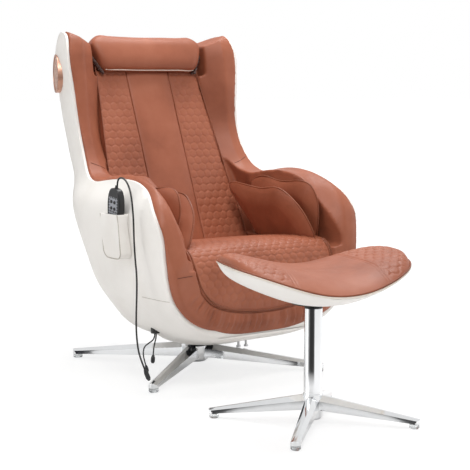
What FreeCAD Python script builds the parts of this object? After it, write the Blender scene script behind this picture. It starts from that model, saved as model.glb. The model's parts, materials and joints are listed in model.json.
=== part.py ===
"""Swivelling massage chair with its matching footstool.

Millimetres, +Z up. The chair faces -Y and the sitter's right hand is on -X. The model is drawn
about the chair's swivel axis and moved at the end, so that the origin lies on the floor under
the middle of everything except the loose cords.
"""
import FreeCAD, Part
import math
import os

V = FreeCAD.Vector

# Fits and clearances
fit_gap = 0.3
turn_gap = 0.05
seat_clear = 0.5

# Chair shell
shell_half_width = 368.0
shell_height = 1010.0
shell_wall = 8.0
floor_fade = 150.0
rear_power = 2.3
lining_proud = 6.0

# Chair star base
base_reach = 388.0
base_turn = 37.5
hub_radius = 42.0
hub_foot_z = 14.0
hub_top_z = 72.0
leg_root_width = 46.0
leg_tip_width = 27.0
leg_root_depth = 44.0
leg_tip_depth = 14.0
leg_tip_top_z = 27.0
glide_radius = 14.0
spindle_radius = 15.0
plate_half_x = 36.0
plate_half_y = 42.0
plate_centre_y = -22.0
plate_top_z = 82.0

# Seat
seat_half_width = 246.0
seat_back_y = 62.0
seat_front_y = -360.0
seat_top_z = 385.0
seat_base_z = 250.0
seat_front_low_z = 215.0
seat_corner = 30.0
lip_z = 150.0

frame_depth = 22.0

# Back, which leans about the line where it meets the seat
back_foot_y = 60.0
back_foot_z = 380.0
back_lean = 21.3
back_length = 625.0
back_low = -22.0
back_half_width = 240.0
ear_recess_x = 262.0
back_thick = 45.0
centre_half_width = 78.0

# Airbag pads
pad_thick = 36.0
pad_lean = 16.0
pad_hinge_radius = 4.0
pad_foot_z = seat_top_z + 10.0
inner_pad_x = 224.0
outer_pad_x = 261.9

# Head pillow
pillow_half_length = 208.0
pillow_depth = 62.0
pillow_height = 120.0
pillow_centre_s = 594.0
pillow_travel = 40.0
pillow_inset = 22.0

# Handset and pocket
pocket_centre_y = -158.0
pocket_width = 90.0
pocket_foot_z = 373.0
pocket_top_z = 498.0
pocket_room = 30.0
pocket_skin = 2.5
handset_width = 62.0
handset_length = 178.0
handset_thick = 20.0
handset_outset = 3.6
handset_foot = 20.0
handset_tip = 8.0
handset_shift = 7.7
button_radius = 4.5
button_height = 2.4

# Cords
cord_diameter = 5.0
lead_diameter = 4.0

# Speakers
speaker_radius = 58.0
speaker_ring = 7.0
speaker_z = 885.0

# Massage mechanism, measured along the lean of the back from its foot
rail_x = 118.0
rail_depth = 128.0
rail_low = 20.0
rail_high = 520.0
rail_width = 14.0
rail_thick = 20.0
carriage_centre = 285.0
carriage_half_height = 98.0
carriage_half_width = 108.0
head_spread_x = 75.0
head_spread_s = 72.0
head_radius = 26.0
head_width = 26.0
pin_radius = 5.0
screw_radius = 6.0

# Footstool
stool_x = -170.0
stool_y = -760.0
stool_reach = 258.0
stool_turn = 41.0
stool_half_length = 244.0
stool_half_depth = 190.0
stool_rim_z = 354.0
stool_tilt = 0.035
stool_tip_rise = 71.0
stool_crown = 38.0
stool_belly = 43.0
stool_column_radius = 23.0
stool_column_top_z = 295.0
stool_neck_radius = 13.5
stool_hub_radius = 25.0
stool_hub_top_z = 80.0
stool_plate_radius = 55.0


def box(x0, x1, y0, y1, z0, z1):
    """A block between two corners."""
    return Part.makeBox(x1 - x0, y1 - y0, z1 - z0, V(x0, y0, z0))


def rod(radius, start, end):
    """A round bar between two points."""
    axis = V(*end) - V(*start)
    return Part.makeCylinder(radius, axis.Length, V(*start), axis)


def spline_edge(points, closed=False):
    """A smooth curve through the points."""
    curve = Part.BSplineCurve()
    curve.interpolate(Points=[V(*p) for p in points], PeriodicFlag=closed)
    return curve.toShape()


def line(start, end):
    return Part.LineSegment(V(*start), V(*end)).toShape()


def polygon(points):
    return Part.makePolygon([V(*p) for p in list(points) + [points[0]]])


def side_solid(edges, half_width):
    """Extrudes an outline drawn in the YZ plane across the whole width."""
    face = Part.Face(Part.Wire(edges))
    face.translate(V(-half_width, 0, 0))
    return face.extrude(V(2 * half_width, 0, 0))


def mirrored(shape):
    return shape.mirror(V(0, 0, 0), V(1, 0, 0))


def leaned(shape):
    """Takes a piece drawn upright behind the back's foot and leans it with the back."""
    out = shape.copy()
    out.rotate(V(0, 0, 0), V(1, 0, 0), -back_lean)
    out.translate(V(0, back_foot_y, back_foot_z))
    return out


def lean_point(x, depth, along):
    """The place of a point of the leaned back: depth runs rearwards, along runs up."""
    a = math.radians(back_lean)
    y = back_foot_y + depth * math.cos(a) + along * math.sin(a)
    z = back_foot_z - depth * math.sin(a) + along * math.cos(a)
    return (x, y, z)


# Shell levels: share of the height, share of the half width, the Y of the widest place,
# the rearmost Y, the foremost Y and how square the front corners are
shell_levels = [
    (0.0891, 0.285, -60, 20, -150, 2.4),
    (0.0970, 0.360, -60, 34, -185, 2.6),
    (0.1178, 0.460, -64, 52, -270, 3.2),
    (0.1386, 0.600, -78, 82, -340, 4.2),
    (0.1663, 0.720, -84, 118, -353, 6.0),
    (0.1901, 0.775, -80, 134, -364, 7.0),
    (0.2149, 0.820, -74, 150, -372, 8.0),
    (0.2713, 0.900, -55, 195, -400, 8.0),
    (0.3455, 0.945, -35, 240, -425, 7.0),
    (0.4287, 0.980, -15, 290, -440, 6.0),
    (0.5129, 0.975, 5, 332, -440, 6.0),
    (0.5693, 0.880, 50, 372, -440, 6.0),
    (0.6188, 0.830, 110, 409, -430, 6.0),
    (0.6832, 0.810, 158, 436, -420, 6.0),
    (0.7525, 0.815, 184, 456, -410, 6.0),
    (0.8218, 0.830, 196, 460, -400, 6.0),
    (0.8911, 0.850, 205, 458, -390, 6.0),
    (0.9505, 0.850, 214, 452, -380, 6.0),
    (1.0297, 0.830, 230, 436, -360, 6.0),
]
shell_floor_z = shell_levels[0][0] * shell_height
shell_steps = 28
fine_steps = 1440


def evenly_spaced(points, count):
    """Points at equal steps of length round a closed outline."""
    lengths = [0.0]
    for start, end in zip(points, points[1:] + points[:1]):
        lengths.append(lengths[-1] + math.dist(start, end))
    picked = []
    k = 0
    for step in range(count):
        want = lengths[-1] * step / count
        while lengths[k + 1] < want:
            k += 1
        share = (want - lengths[k]) / (lengths[k + 1] - lengths[k])
        start = points[k]
        end = points[(k + 1) % len(points)]
        picked.append(tuple(a + (b - a) * share for a, b in zip(start, end)))
    return picked


def level_at(z):
    """The shell's outline values at any height."""
    share = z / shell_height
    for low, high in zip(shell_levels, shell_levels[1:]):
        if share <= high[0]:
            break
    t = (share - low[0]) / (high[0] - low[0])
    return tuple(a + (b - a) * t for a, b in zip(low, high))


def shell_section(level, inset, lift=0.0):
    """One closed horizontal outline of the shell, moved inwards by inset and up by lift."""
    height, width, middle, back, front, front_power = level
    z = height * shell_height + lift
    a = width * shell_half_width - inset
    points = []
    for k in range(fine_steps):
        angle = 2 * math.pi * k / fine_steps + math.pi / 2
        c = math.cos(angle)
        s = math.sin(angle)
        power = rear_power if s >= 0 else front_power
        reach = (back - middle - inset) if s >= 0 else (middle - front - inset)
        x = a * math.copysign(abs(c) ** (2 / power), c)
        y = middle + reach * math.copysign(abs(s) ** (2 / power), s)
        points.append((x, y, z))
    return evenly_spaced(points, shell_steps)


def shell_body(inset, floor_lift=0.0):
    """The closed egg form, inset from the outside and with its floor raised."""
    wires = []
    for level in shell_levels:
        above = level[0] * shell_height - shell_floor_z
        lift = floor_lift * max(0.0, 1 - above / floor_fade)
        wires.append(Part.Wire([spline_edge(shell_section(level, inset, lift), closed=True)]))
    return Part.makeLoft(wires, True, False)


def cavity():
    """The room inside the shell for everything that it holds."""
    return shell_body(shell_wall + fit_gap, shell_wall + fit_gap)


# The rim in side view, from the front lip over the arm and the waist to the ear and the back
rim_points = [
    (-338, 150), (-341, 168), (-352, 200), (-364, 244), (-369, 292), (-365, 350), (-350, 422),
    (-328, 482), (-286, 532), (-226, 567), (-152, 585), (-76, 586), (0, 577), (58, 574),
    (104, 593), (142, 637), (173, 697), (189, 762), (198, 850), (206, 915), (217, 968),
    (240, 1001), (272, 1008), (312, 992), (360, 968), (420, 950), (500, 942),
]


def rim_curve(proud):
    """The rim moved forwards and upwards by proud, square to itself."""
    moved = []
    for k, (y, z) in enumerate(rim_points):
        before = rim_points[max(k - 1, 0)]
        after = rim_points[min(k + 1, len(rim_points) - 1)]
        dy = after[0] - before[0]
        dz = after[1] - before[1]
        length = math.hypot(dy, dz)
        moved.append((0, y - proud * dz / length, z + proud * dy / length))
    return moved


def inside_rim(proud):
    """Everything behind and below the rim."""
    curve = rim_curve(proud)
    first = curve[0]
    last = curve[-1]
    far_y = last[1] + 200
    corners = [last, (0, far_y, last[2]), (0, far_y, 0), (0, -600, 0), (0, -600, first[2]), first]
    edges = [spline_edge(curve)]
    for start, end in zip(corners, corners[1:]):
        edges.append(line(start, end))
    return side_solid(edges, 500)


def opening(outline, gap):
    """A space drawn in front view by its right-hand edge, right through from front to back."""
    right = [(x + gap, 0, z) for x, z in outline]
    left = [(-x, y, z) for x, y, z in reversed(right)]
    edges = [spline_edge(right), line(right[-1], left[0]), spline_edge(left), line(left[-1], right[0])]
    face = Part.Face(Part.Wire(edges))
    face.translate(V(0, -700, 0))
    return face.extrude(V(0, 1400, 0))


def between_bolsters(gap):
    """The space between the bolsters: wide over the arms, narrower beside the back."""
    back = opening([(back_half_width, seat_top_z - 1), (back_half_width - 6, 480),
                    (back_half_width - 20, 560), (back_half_width - 32, 670),
                    (back_half_width - 46, 800), (back_half_width - 53, 890),
                    (back_half_width - 57, 960), (back_half_width - 59, 1100)], gap)
    arms = opening([(seat_half_width + 30, seat_top_z - 1), (seat_half_width + 32, 405),
                    (seat_half_width + 25, 440), (seat_half_width + 14, 500),
                    (seat_half_width + 1, 550), (seat_half_width - 10, 590),
                    (seat_half_width - 26, 625), (seat_half_width - 38, 665)], gap)
    ahead = leaned(box(-600, 600, -900, gap, -300, 500))
    return back.fuse(arms.common(ahead))


def ear_recess(side):
    """The region ahead of the rim at the wings, which falls away inwards and backwards."""
    curve = [(0, y, z) for _, y, z in rim_curve(lining_proud + 1.5) if z > 590 and y < 236]
    far = -800
    corners = [curve[-1], (0, far, curve[-1][2] + 120), (0, far, curve[0][2]), curve[0]]
    edges = [spline_edge(curve)]
    for start, end in zip(corners, corners[1:]):
        edges.append(line(start, end))
    face = Part.Face(Part.Wire(edges))
    face.translate(V(side * ear_recess_x, 0, 0))
    return face.extrude(V(-side * 150, 105, 0))


def star_leg(reach, root_radius, root_width, tip_width, root_depth, tip_depth, root_top, tip_top):
    """A leg along +X: two sloping top facets over a flat belly, narrowing to a rounded tip."""
    def section(x, width, depth, top):
        half = width / 2
        shoulder = top - depth * 0.38
        return polygon([
            (x, -half, top - depth), (x, half, top - depth), (x, half * 0.92, shoulder),
            (x, half * 0.28, top), (x, -half * 0.28, top), (x, -half * 0.92, shoulder),
        ])
    start = section(root_radius * 0.5, root_width, root_depth, root_top)
    end = section(reach + tip_width / 2, tip_width, tip_depth, tip_top)
    bar = Part.makeLoft([start, end], True, True)
    rounded = Part.makeBox(reach, root_width * 2, 300, V(0, -root_width, -100))
    rounded = rounded.fuse(Part.makeCylinder(tip_width / 2, 300, V(reach, 0, -100)))
    bar = bar.common(rounded)
    return bar.cut(Part.makeCylinder(root_radius, 300, V(0, 0, -100)))


def star(reach, turn, leg):
    """Four copies of a leg, a quarter turn apart."""
    legs = []
    for k in range(4):
        copy = leg.copy()
        copy.rotate(V(0, 0, 0), V(0, 0, 1), turn + 90 * k)
        legs.append(copy)
    return Part.makeCompound(legs)


def glide(radius, height):
    """A clear glide: a shallow cup with a rounded foot."""
    outline = [(0, 0, 0), (radius - 3, 0, 0), (radius, 0, 3), (radius, 0, height - 1),
               (radius - 1, 0, height), (0, 0, height)]
    return Part.Face(polygon(outline)).revolve(V(0, 0, 0), V(0, 0, 1), 360)


def base_hub():
    """The turned hub of the chair's star."""
    r = hub_radius
    outline = [(0, 0, hub_foot_z), (r - 10, 0, hub_foot_z), (r, 0, hub_foot_z + 8),
               (r, 0, hub_top_z - 9), (r - 6, 0, hub_top_z - 2), (r - 12, 0, hub_top_z),
               (0, 0, hub_top_z)]
    return Part.Face(polygon(outline)).revolve(V(0, 0, 0), V(0, 0, 1), 360)


def base_legs():
    leg = star_leg(base_reach, hub_radius, leg_root_width, leg_tip_width, leg_root_depth,
                   leg_tip_depth, hub_top_z + 1, leg_tip_top_z)
    return star(base_reach, base_turn, leg)


def glides(reach, turn, height, radius):
    shapes = []
    for k in range(4):
        foot = glide(radius, height)
        foot.translate(V(reach - 2, 0, 0))
        foot.rotate(V(0, 0, 0), V(0, 0, 1), turn + 90 * k)
        shapes.append(foot)
    return Part.makeCompound(shapes)


def swivel_spindle():
    return rod(spindle_radius, (0, 0, hub_top_z), (0, 0, shell_floor_z - seat_clear))


def plate_oval(half_x, half_y, low, top):
    """An upright oval block under the shell, centred on the plate."""
    centre = V(0, plate_centre_y, low)
    if half_x > half_y:
        arc = Part.Ellipse(centre, half_x, half_y).toShape()
    else:
        arc = Part.Ellipse(centre, half_y, half_x).toShape()
        arc.rotate(centre, V(0, 0, 1), 90)
    return Part.Face(Part.Wire([arc])).extrude(V(0, 0, top - low))


def swivel_plate():
    """The black oval plate and its boss, which carry the shell and turn on the spindle."""
    low = hub_top_z + 1 + fit_gap
    plate = plate_oval(plate_half_x, plate_half_y, low, plate_top_z)
    plate = plate.fuse(plate_oval(plate_half_x - 4, plate_half_y - 4, plate_top_z, shell_floor_z))
    return plate.cut(rod(spindle_radius + turn_gap, (0, 0, low - 5), (0, 0, shell_floor_z + 5)))


def bolt_places():
    return [(sx * 22, plate_centre_y + sy * 24) for sx in (-1, 1) for sy in (-1, 1)]


def plate_bolts():
    """Bolts up through the plate and the shell's floor, with round heads above the floor."""
    bolts = []
    low = hub_top_z + fit_gap + 2
    top = shell_floor_z + shell_wall
    for x, y in bolt_places():
        shank = rod(4, (x, y, low), (x, y, top + 5))
        head = rod(8, (x, y, top + 5), (x, y, top + 10))
        bolts.append(shank.fuse(head).removeSplitter())
    return Part.makeCompound(bolts)


def bolt_holes():
    holes = [rod(4 + turn_gap, (x, y, hub_top_z), (x, y, 120)) for x, y in bolt_places()]
    return Part.makeCompound(holes)


def stop_pins():
    """Two small flanged pins under the seat that limit how far the shell can rock."""
    pins = []
    below = shell_body(-fit_gap)
    for x, y in ((88, -104), (112, -110)):
        stem = rod(4, (x, y, 66), (x, y, 150)).cut(below)
        flange = rod(7, (x, y, 61), (x, y, 66))
        pins.append(stem.fuse(flange).removeSplitter())
    return Part.makeCompound(pins)


def seat_profile(grow=0.0):
    """The seat cushion in side view: a flat base, a slow rise and a rolled front."""
    g = grow
    top = [
        (0, seat_back_y + g, seat_top_z - 34 + g), (0, seat_back_y - 90, seat_top_z - 20 + g),
        (0, -160, seat_top_z - 5 + g), (0, -262, seat_top_z + g), (0, -318, seat_top_z - 12 + g),
        (0, seat_front_y + 12 - g, seat_top_z - 52), (0, seat_front_y - g, seat_top_z - 112),
        (0, seat_front_y + 5 - g, seat_front_low_z - g),
    ]
    foot = (0, seat_front_y + 34, seat_front_low_z - g)
    step = (0, seat_front_y + 60, seat_base_z - g)
    rear = (0, seat_back_y + g, seat_base_z - g)
    return [spline_edge(top), line(top[-1], foot), line(foot, step), line(step, rear),
            line(rear, top[0])]


# Half of the seat's outline in front view: out along its lower edge and up its side
seat_lower_edge = [(0, 214), (80, 218), (145, 231), (195, 253), (231, 290), (245, 335), (248, 386)]


def seat_front_view(grow):
    """The region in front view that the seat keeps to, with its rounded lower corners."""
    right = [(x + grow, 0, z - grow) if x else (0, 0, z - grow) for x, z in seat_lower_edge]
    low = [(-x, y, z) for x, y, z in reversed(right[1:])] + right
    top_z = seat_top_z + 60
    corners = [low[-1], (low[-1][0], 0, top_z), (low[0][0], 0, top_z), low[0]]
    edges = [spline_edge(low)] + [line(a, b) for a, b in zip(corners, corners[1:])]
    face = Part.Face(Part.Wire(edges))
    face.translate(V(0, -600, 0))
    return face.extrude(V(0, 1000, 0))


def seat_solid(grow=0.0):
    body = side_solid(seat_profile(grow), seat_half_width + grow).common(seat_front_view(grow))
    plan = box(-seat_half_width - grow, seat_half_width + grow, seat_front_y - 5 - grow,
               seat_back_y + 5 + grow, 0, 800)
    upright = [e for e in plan.Edges if e.BoundBox.ZLength > 700 and e.BoundBox.YMax < 0]
    plan = plan.makeFillet(seat_corner, upright)
    return body.common(plan)


def back_slab():
    """The whole back cushion, leaned, before it is split into its centre and its sides."""
    slab = leaned(box(-400, 400, 0, back_thick, back_low, back_length))
    foot = box(-seat_half_width, seat_half_width, 0, 400, 0, seat_top_z)
    return slab.common(between_bolsters(-seat_clear).fuse(foot)).common(cavity())


def back_cushion():
    groove = leaned(box(-centre_half_width - fit_gap, centre_half_width + fit_gap, -20,
                        back_thick - 14, back_low - 50, pillow_low() + 1))
    return back_slab().cut(groove).cut(pillow_room())


def back_centre_panel():
    """The smooth strip down the middle, up to where the pillow covers it."""
    strip = leaned(box(-centre_half_width, centre_half_width, 0, back_thick - 14 - fit_gap,
                       back_low, pillow_low() - fit_gap))
    return strip


def front_plan():
    """Keeps the upholstery's front bowed: foremost at the arms and further back in the middle."""
    bow = [(-500, -384, 0), (-345, -378, 0), (-262, -362, 0), (-200, seat_front_y + 2, 0),
           (0, seat_front_y + 6, 0), (200, seat_front_y + 2, 0), (262, -362, 0), (345, -378, 0),
           (500, -384, 0)]
    right = (500, 600, 0)
    left = (-500, 600, 0)
    face = Part.Face(Part.Wire([spline_edge(bow), line(bow[-1], right), line(right, left),
                                line(left, bow[0])]))
    return face.extrude(V(0, 0, 1200))


def upholstery():
    """Everything inside the shell up to the proud line of its lining."""
    return cavity().common(inside_rim(lining_proud)).common(front_plan())


def pillow_low():
    """How far up the back the step lies that the pillow rests on."""
    return pillow_centre_s - pillow_height / 2 - seat_clear


def pillow_room():
    """The step in the back and the wings that the pillow lies in, with room for its travel."""
    half_length = pillow_half_length + seat_clear
    return leaned(box(-half_length, half_length, -300, pillow_inset, pillow_low(), pillow_low() + 500))


def ear_slope():
    """What is taken off the wings' tops, which fall away towards the sitter."""
    outer_x = 296
    inner_x = 120
    top = 1013
    drop = 78
    outline = [(outer_x, -200, top), (outer_x, -200, top + 100), (-outer_x, -200, top + 100),
               (-outer_x, -200, top), (-inner_x, -200, top - drop), (inner_x, -200, top - drop)]
    return Part.Face(polygon(outline)).extrude(V(0, 900, 0))


def bolster_body():
    """Padding of the wings and arms, from the shell to its rolled front edge."""
    body = upholstery().cut(between_bolsters(0))
    body = body.cut(ear_recess(1)).cut(ear_recess(-1)).cut(pillow_room()).cut(ear_slope())
    well = seat_half_width + fit_gap
    body = body.cut(box(-well, well, seat_front_y + 76, 600, 0, seat_top_z + 1))
    body = body.cut(seat_solid(fit_gap))
    middle = seat_half_width - 6
    body = body.cut(box(-middle, middle, -600, seat_front_y + 110, 0, seat_top_z + 30))
    return body.cut(box(-500, 500, -600, 600, 0, 200)).cut(apron_block(fit_gap))


def apron_block(grow):
    return box(-500, 500, -600, -296 + grow, 0, 335 + grow)


def front_apron():
    """The gathered skirt below the seat, inside the shell's lip."""
    body = upholstery().common(apron_block(0)).cut(seat_solid(fit_gap))
    hollow = shell_body(shell_wall + 26).common(box(-400, 400, seat_front_y + 26, 0, 0, 600))
    body = body.cut(hollow)
    return body.cut(box(-500, 500, -600, 0, 0, lip_z - 22))


def outer_shell():
    outer = shell_body(0)
    inner = shell_body(shell_wall, shell_wall)
    shell = outer.common(inside_rim(0)).cut(inner)
    return shell.cut(bolt_holes())


def biggest(shape):
    """The largest solid of a shape."""
    return max(shape.Solids, key=lambda s: s.Volume)


def half(shape, side):
    """The solid that lies on one side of the middle plane."""
    keep = [s for s in shape.Solids if s.CenterOfMass.x * side > 0]
    return max(keep, key=lambda s: s.Volume)


# Outlines of the leaf-shaped pads in side view, Y and Z, from the rear of the foot over the top
inner_pad_edge = [(-16, 395), (4, 435), (40, 486), (66, 524), (64, 548), (40, 556), (-20, 550),
                  (-86, 544), (-140, 549), (-172, 550), (-208, 538), (-264, 492), (-296, 430),
                  (-298, 395)]
outer_pad_edge = [(-10, 395), (8, 450), (26, 520), (20, 556), (-24, 576), (-62, 578), (-120, 567),
                  (-180, 570), (-226, 573), (-270, 560), (-290, 512), (-280, 450), (-262, 395)]


def airbag_pad(foot_x, edge, side, hinged):
    """A leaf-shaped pad that stands on the seat's edge and leans towards the sitter.

    A hinged pad turns on the rod that is sewn into its foot.
    """
    outline = [(-pad_thick / 2, y, z) for y, z in edge]
    face = Part.Face(Part.Wire([spline_edge(outline), line(outline[-1], outline[0])]))
    pad = face.extrude(V(pad_thick, 0, 0))
    upper = [e for e in pad.Edges if e.BoundBox.XLength < 1 and e.BoundBox.ZLength > 20]
    pad = pad.makeFillet(pad_thick * 0.34, upper)
    if hinged:
        pad = pad.fuse(rod(pad_hinge_radius, (0, -230, pad_foot_z), (0, -50, pad_foot_z))).removeSplitter()
    pad.rotate(V(0, 0, pad_foot_z), V(0, 1, 0), -pad_lean)
    pad.translate(V(foot_x, 0, 0))
    return pad if side > 0 else mirrored(pad)


def outer_airbag_pad():
    """The pad nearer the arm, which leans on the bolster."""
    pad = airbag_pad(outer_pad_x, outer_pad_edge, 1, False)
    pad = pad.common(between_bolsters(-fit_gap))
    return biggest(pad)


def head_pillow():
    """A soft roll on the upper edge of the back, with rounded ends."""
    half_depth = pillow_depth / 2
    half_height = pillow_height / 2
    centre_depth = pillow_inset - half_depth - seat_clear
    outline = []
    for k in range(20):
        angle = 2 * math.pi * k / 20
        c = math.cos(angle)
        n = math.sin(angle)
        outline.append((half_depth * math.copysign(abs(c) ** 0.75, c),
                        half_height * math.copysign(abs(n) ** 0.75, n)))
    wires = []
    for place in (-1, -0.975, -0.92, -0.8, -0.4, 0, 0.4, 0.8, 0.92, 0.975, 1):
        share = 1 - 0.30 * abs(place) ** 26
        ring = [(place * pillow_half_length, centre_depth + depth * share,
                 pillow_centre_s + along * share) for depth, along in outline]
        wires.append(Part.Wire([spline_edge(ring, closed=True)]))
    return leaned(Part.makeLoft(wires, True, False))


def top_cover():
    """The padded lid behind the back cushion's top, which closes the shell from wing to wing."""
    lid = box(-400, 400, 150, 600, 905, 942)
    lid = lid.common(cavity()).common(between_bolsters(-seat_clear))
    return biggest(lid.common(leaned(box(-500, 500, back_thick + fit_gap, 600, 200, 1000))))


def rim_x(z, y):
    """Outer half width of the shell at a height and a Y."""
    _, width, middle, back, front, power = level_at(z)
    a = width * shell_half_width
    if y <= middle:
        reach = middle - front
        return a * (1 - ((middle - y) / reach) ** power) ** (1 / power)
    reach = back - middle
    return a * (1 - ((y - middle) / reach) ** rear_power) ** (1 / rear_power)


def underside_z(x, y):
    """The height at which the shell's underside is as wide as x, at that Y."""
    low = shell_floor_z + 1
    high = shell_height * 0.4
    for _ in range(40):
        middle = (low + high) / 2
        if rim_x(middle, y) < abs(x):
            low = middle
        else:
            high = middle
    return low


def handset_pocket():
    """An open-topped patch pocket that follows the shell's side."""
    y0 = pocket_centre_y - pocket_width / 2
    y1 = pocket_centre_y + pocket_width / 2
    block = box(-600, 0, y0, y1, pocket_foot_z, pocket_top_z)
    low_edges = [e for e in block.Edges if e.BoundBox.XLength > 500 and e.BoundBox.ZMax < 400]
    block = block.makeFillet(22, low_edges)
    hollow = box(-600, 0, y0 + 4, y1 - 4, pocket_foot_z + 5, pocket_top_z + 60)
    low_edges = [e for e in hollow.Edges if e.BoundBox.XLength > 500 and e.BoundBox.ZMax < 400]
    hollow = hollow.makeFillet(18, low_edges)
    out = pocket_room + 2 * pocket_skin
    pouch = shell_body(-out).cut(shell_body(-fit_gap)).common(block)
    room = shell_body(-out + pocket_skin).cut(shell_body(-fit_gap - pocket_skin)).common(hollow)
    return biggest(pouch.cut(room))


def handset_place(shape):
    """Stands a handset drawn upright at the origin in the pocket, tipped towards the front."""
    z = pocket_foot_z + handset_foot
    x_low = -rim_x(z, pocket_centre_y) - pocket_skin - fit_gap - pocket_room / 2 - handset_outset
    out = shape.copy()
    out.rotate(V(0, 0, 0), V(1, 0, 0), handset_tip)
    out.rotate(V(0, 0, 0), V(0, 1, 0), handset_side_lean())
    out.translate(V(x_low, pocket_centre_y + handset_shift, z))
    return out


def handset_side_lean():
    """How far the handset leans out with the shell's side, in degrees."""
    foot_z = pocket_foot_z + handset_foot
    rise = pocket_top_z - foot_z
    wider = rim_x(pocket_top_z, pocket_centre_y) - rim_x(foot_z, pocket_centre_y)
    return -math.degrees(math.atan2(wider, rise))


def handset_body():
    """Moulded remote: an upright slab with rounded sides and a narrower shoulder."""
    w = handset_width / 2
    h = handset_length
    outline = [
        (0, -w + 6, 0), (0, w - 6, 0), (0, w - 1, 6), (0, w, 20), (0, w - 1, h * 0.6),
        (0, w - 4, h - 18), (0, w - 14, h - 3), (0, 0, h), (0, -w + 14, h - 3),
        (0, -w + 4, h - 18), (0, -w + 1, h * 0.6), (0, -w, 20), (0, -w + 1, 6),
    ]
    face = Part.Face(Part.Wire([spline_edge(outline, closed=True)]))
    face.translate(V(-handset_thick / 2, 0, 0))
    body = face.extrude(V(handset_thick, 0, 0))
    body = body.makeFillet(4.5, [e for e in body.Edges if e.BoundBox.XLength < 0.01])
    recess = box(-handset_thick, -handset_thick / 2 + 1.2, -w + 9, w - 9, 22, h - 24)
    body = body.cut(recess)
    for x, y, z in button_places():
        body = body.cut(rod(button_radius + fit_gap, (x - 3, y, z), (x + 6, y, z)))
    return body


def handset_face():
    """The silver face plate let into the remote, drilled for the buttons."""
    w = handset_width / 2 - 9.1
    x = -handset_thick / 2
    plate = box(x + 0.1, x + 1.2, -w, w, 22.1, handset_length - 24.1)
    for bx, by, bz in button_places():
        plate = plate.cut(rod(button_radius + fit_gap, (bx - 3, by, bz), (bx + 6, by, bz)))
    return plate


def button_places():
    """The four keys above the pocket's mouth, on the remote's outer face."""
    x = -handset_thick / 2 + 1.2
    return [(x, y, z) for z in (handset_length - 56, handset_length - 38) for y in (-8, 8)]


def handset_button(place):
    x, y, z = place
    inner = x + 2.0
    outer = -handset_thick / 2 - button_height
    key = rod(button_radius, (inner, y, z), (outer, y, z))
    rim = [e for e in key.Edges if abs(e.BoundBox.XMin - outer) < 0.01 and e.BoundBox.XLength < 0.01]
    return key.makeFillet(0.8, rim)


def strain_relief():
    """The ribbed boot where the cord leaves the top of the remote."""
    h = handset_length
    boot = Part.makeCone(5.0, 3.4, 8, V(0, 0, h + 0.1), V(0, 0, 1))
    return boot.cut(rod(cord_diameter / 2, (0, 0, h + 4), (0, 0, h + 30)))


def placed_point(x, y, z):
    """Where a point of the upright handset lies once it stands in the pocket."""
    mark = handset_place(Part.Vertex(V(x, y, z)))
    return (mark.Point.x, mark.Point.y, mark.Point.z)


def cord_radii(route):
    """The arc at each inner point: 0.45 of its shorter run over the tangent of half the turn."""
    radii = []
    for a, b, c in zip(route, route[1:], route[2:]):
        run_in = V(*b) - V(*a)
        run_out = V(*c) - V(*b)
        turn = run_in.getAngle(run_out)
        radii.append(0.45 * min(run_in.Length, run_out.Length) / math.tan(turn / 2))
    return radii


def cord_path(route):
    """Straight runs joined by tangent arcs."""
    radii = cord_radii(route)
    edges = []
    here = V(*route[0])
    for k, radius in enumerate(radii):
        before = V(*route[k])
        corner = V(*route[k + 1])
        after = V(*route[k + 2])
        u = (before - corner).normalize()
        w = (after - corner).normalize()
        reach = 0.45 * min((before - corner).Length, (after - corner).Length)
        start = corner + u * reach
        end = corner + w * reach
        towards = (u + w).normalize()
        half_turn = (corner - before).getAngle(after - corner) / 2
        middle = corner + towards * (radius / math.cos(half_turn) - radius)
        edges.append(Part.LineSegment(here, start).toShape())
        edges.append(Part.Arc(start, middle, end).toShape())
        here = end
    edges.append(Part.LineSegment(here, V(*route[-1])).toShape())
    return Part.Wire(edges)


def cord(name, route, diameter):
    """A round cord along a route, with its radii and its volume printed."""
    path = cord_path(route)
    direction = V(*route[1]) - V(*route[0])
    ring = Part.Wire([Part.Circle(V(*route[0]), direction, diameter / 2).toShape()])
    tube = path.makePipeShell([ring], True, True, 0)
    section = math.pi * diameter ** 2 / 4
    print(name, "length %.1f" % path.Length, "volume share %.4f" % (tube.Volume / section / path.Length),
          "radii", [round(r, 1) for r in cord_radii(route)])
    return tube


def handset_route():
    """From the remote's boot over the pocket's edge and down past the arm."""
    top = placed_point(0, 0, handset_length + 4)
    leave = placed_point(0, 0, handset_length + 14)
    return [
        top, leave,
        (leave[0] - 1, leave[1] - 5, leave[2] + 9), (leave[0] - 2, leave[1] - 14, leave[2] + 15),
        (leave[0] - 4, leave[1] - 28, leave[2] + 17), (leave[0] - 5, leave[1] - 45, leave[2] + 14),
        (leave[0] - 6, leave[1] - 61, leave[2] + 4), (leave[0] - 6, leave[1] - 74, leave[2] - 14),
        (leave[0] - 6, leave[1] - 83, leave[2] - 42),
        (-384, -261, 490), (-384, -262, 440), (-384, -267, 388), (-385, -277, 337),
        (-385, -276, 286), (-385, -272, 234), (-384, -270, 183), (-383, -276, 138),
        (-374, -277, 106), (-364, -280, 80),
    ]


def plug_on(route, length, wide, narrow):
    """A tapered plug on the end of a cord, in line with its last run."""
    end = V(*route[-1])
    way = (end - V(*route[-2])).normalize()
    body = Part.makeCone(narrow, wide, length * 0.35, end, way)
    barrel = Part.makeCylinder(wide, length * 0.45, end + way * (length * 0.35), way)
    tip = Part.makeCone(wide, wide * 0.55, length * 0.2, end + way * (length * 0.8), way)
    return body.fuse(barrel).fuse(tip).removeSplitter()


lead_exit = (-250.0, -160.0)
lead_exit_z = underside_z(*lead_exit)


def lead_gland():
    """The grommet under the shell that both leads come out of."""
    x, y = lead_exit
    outer = rod(13, (x, y, lead_exit_z - 9), (x, y, lead_exit_z + 30))
    return outer.cut(shell_body(-fit_gap))


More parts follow.
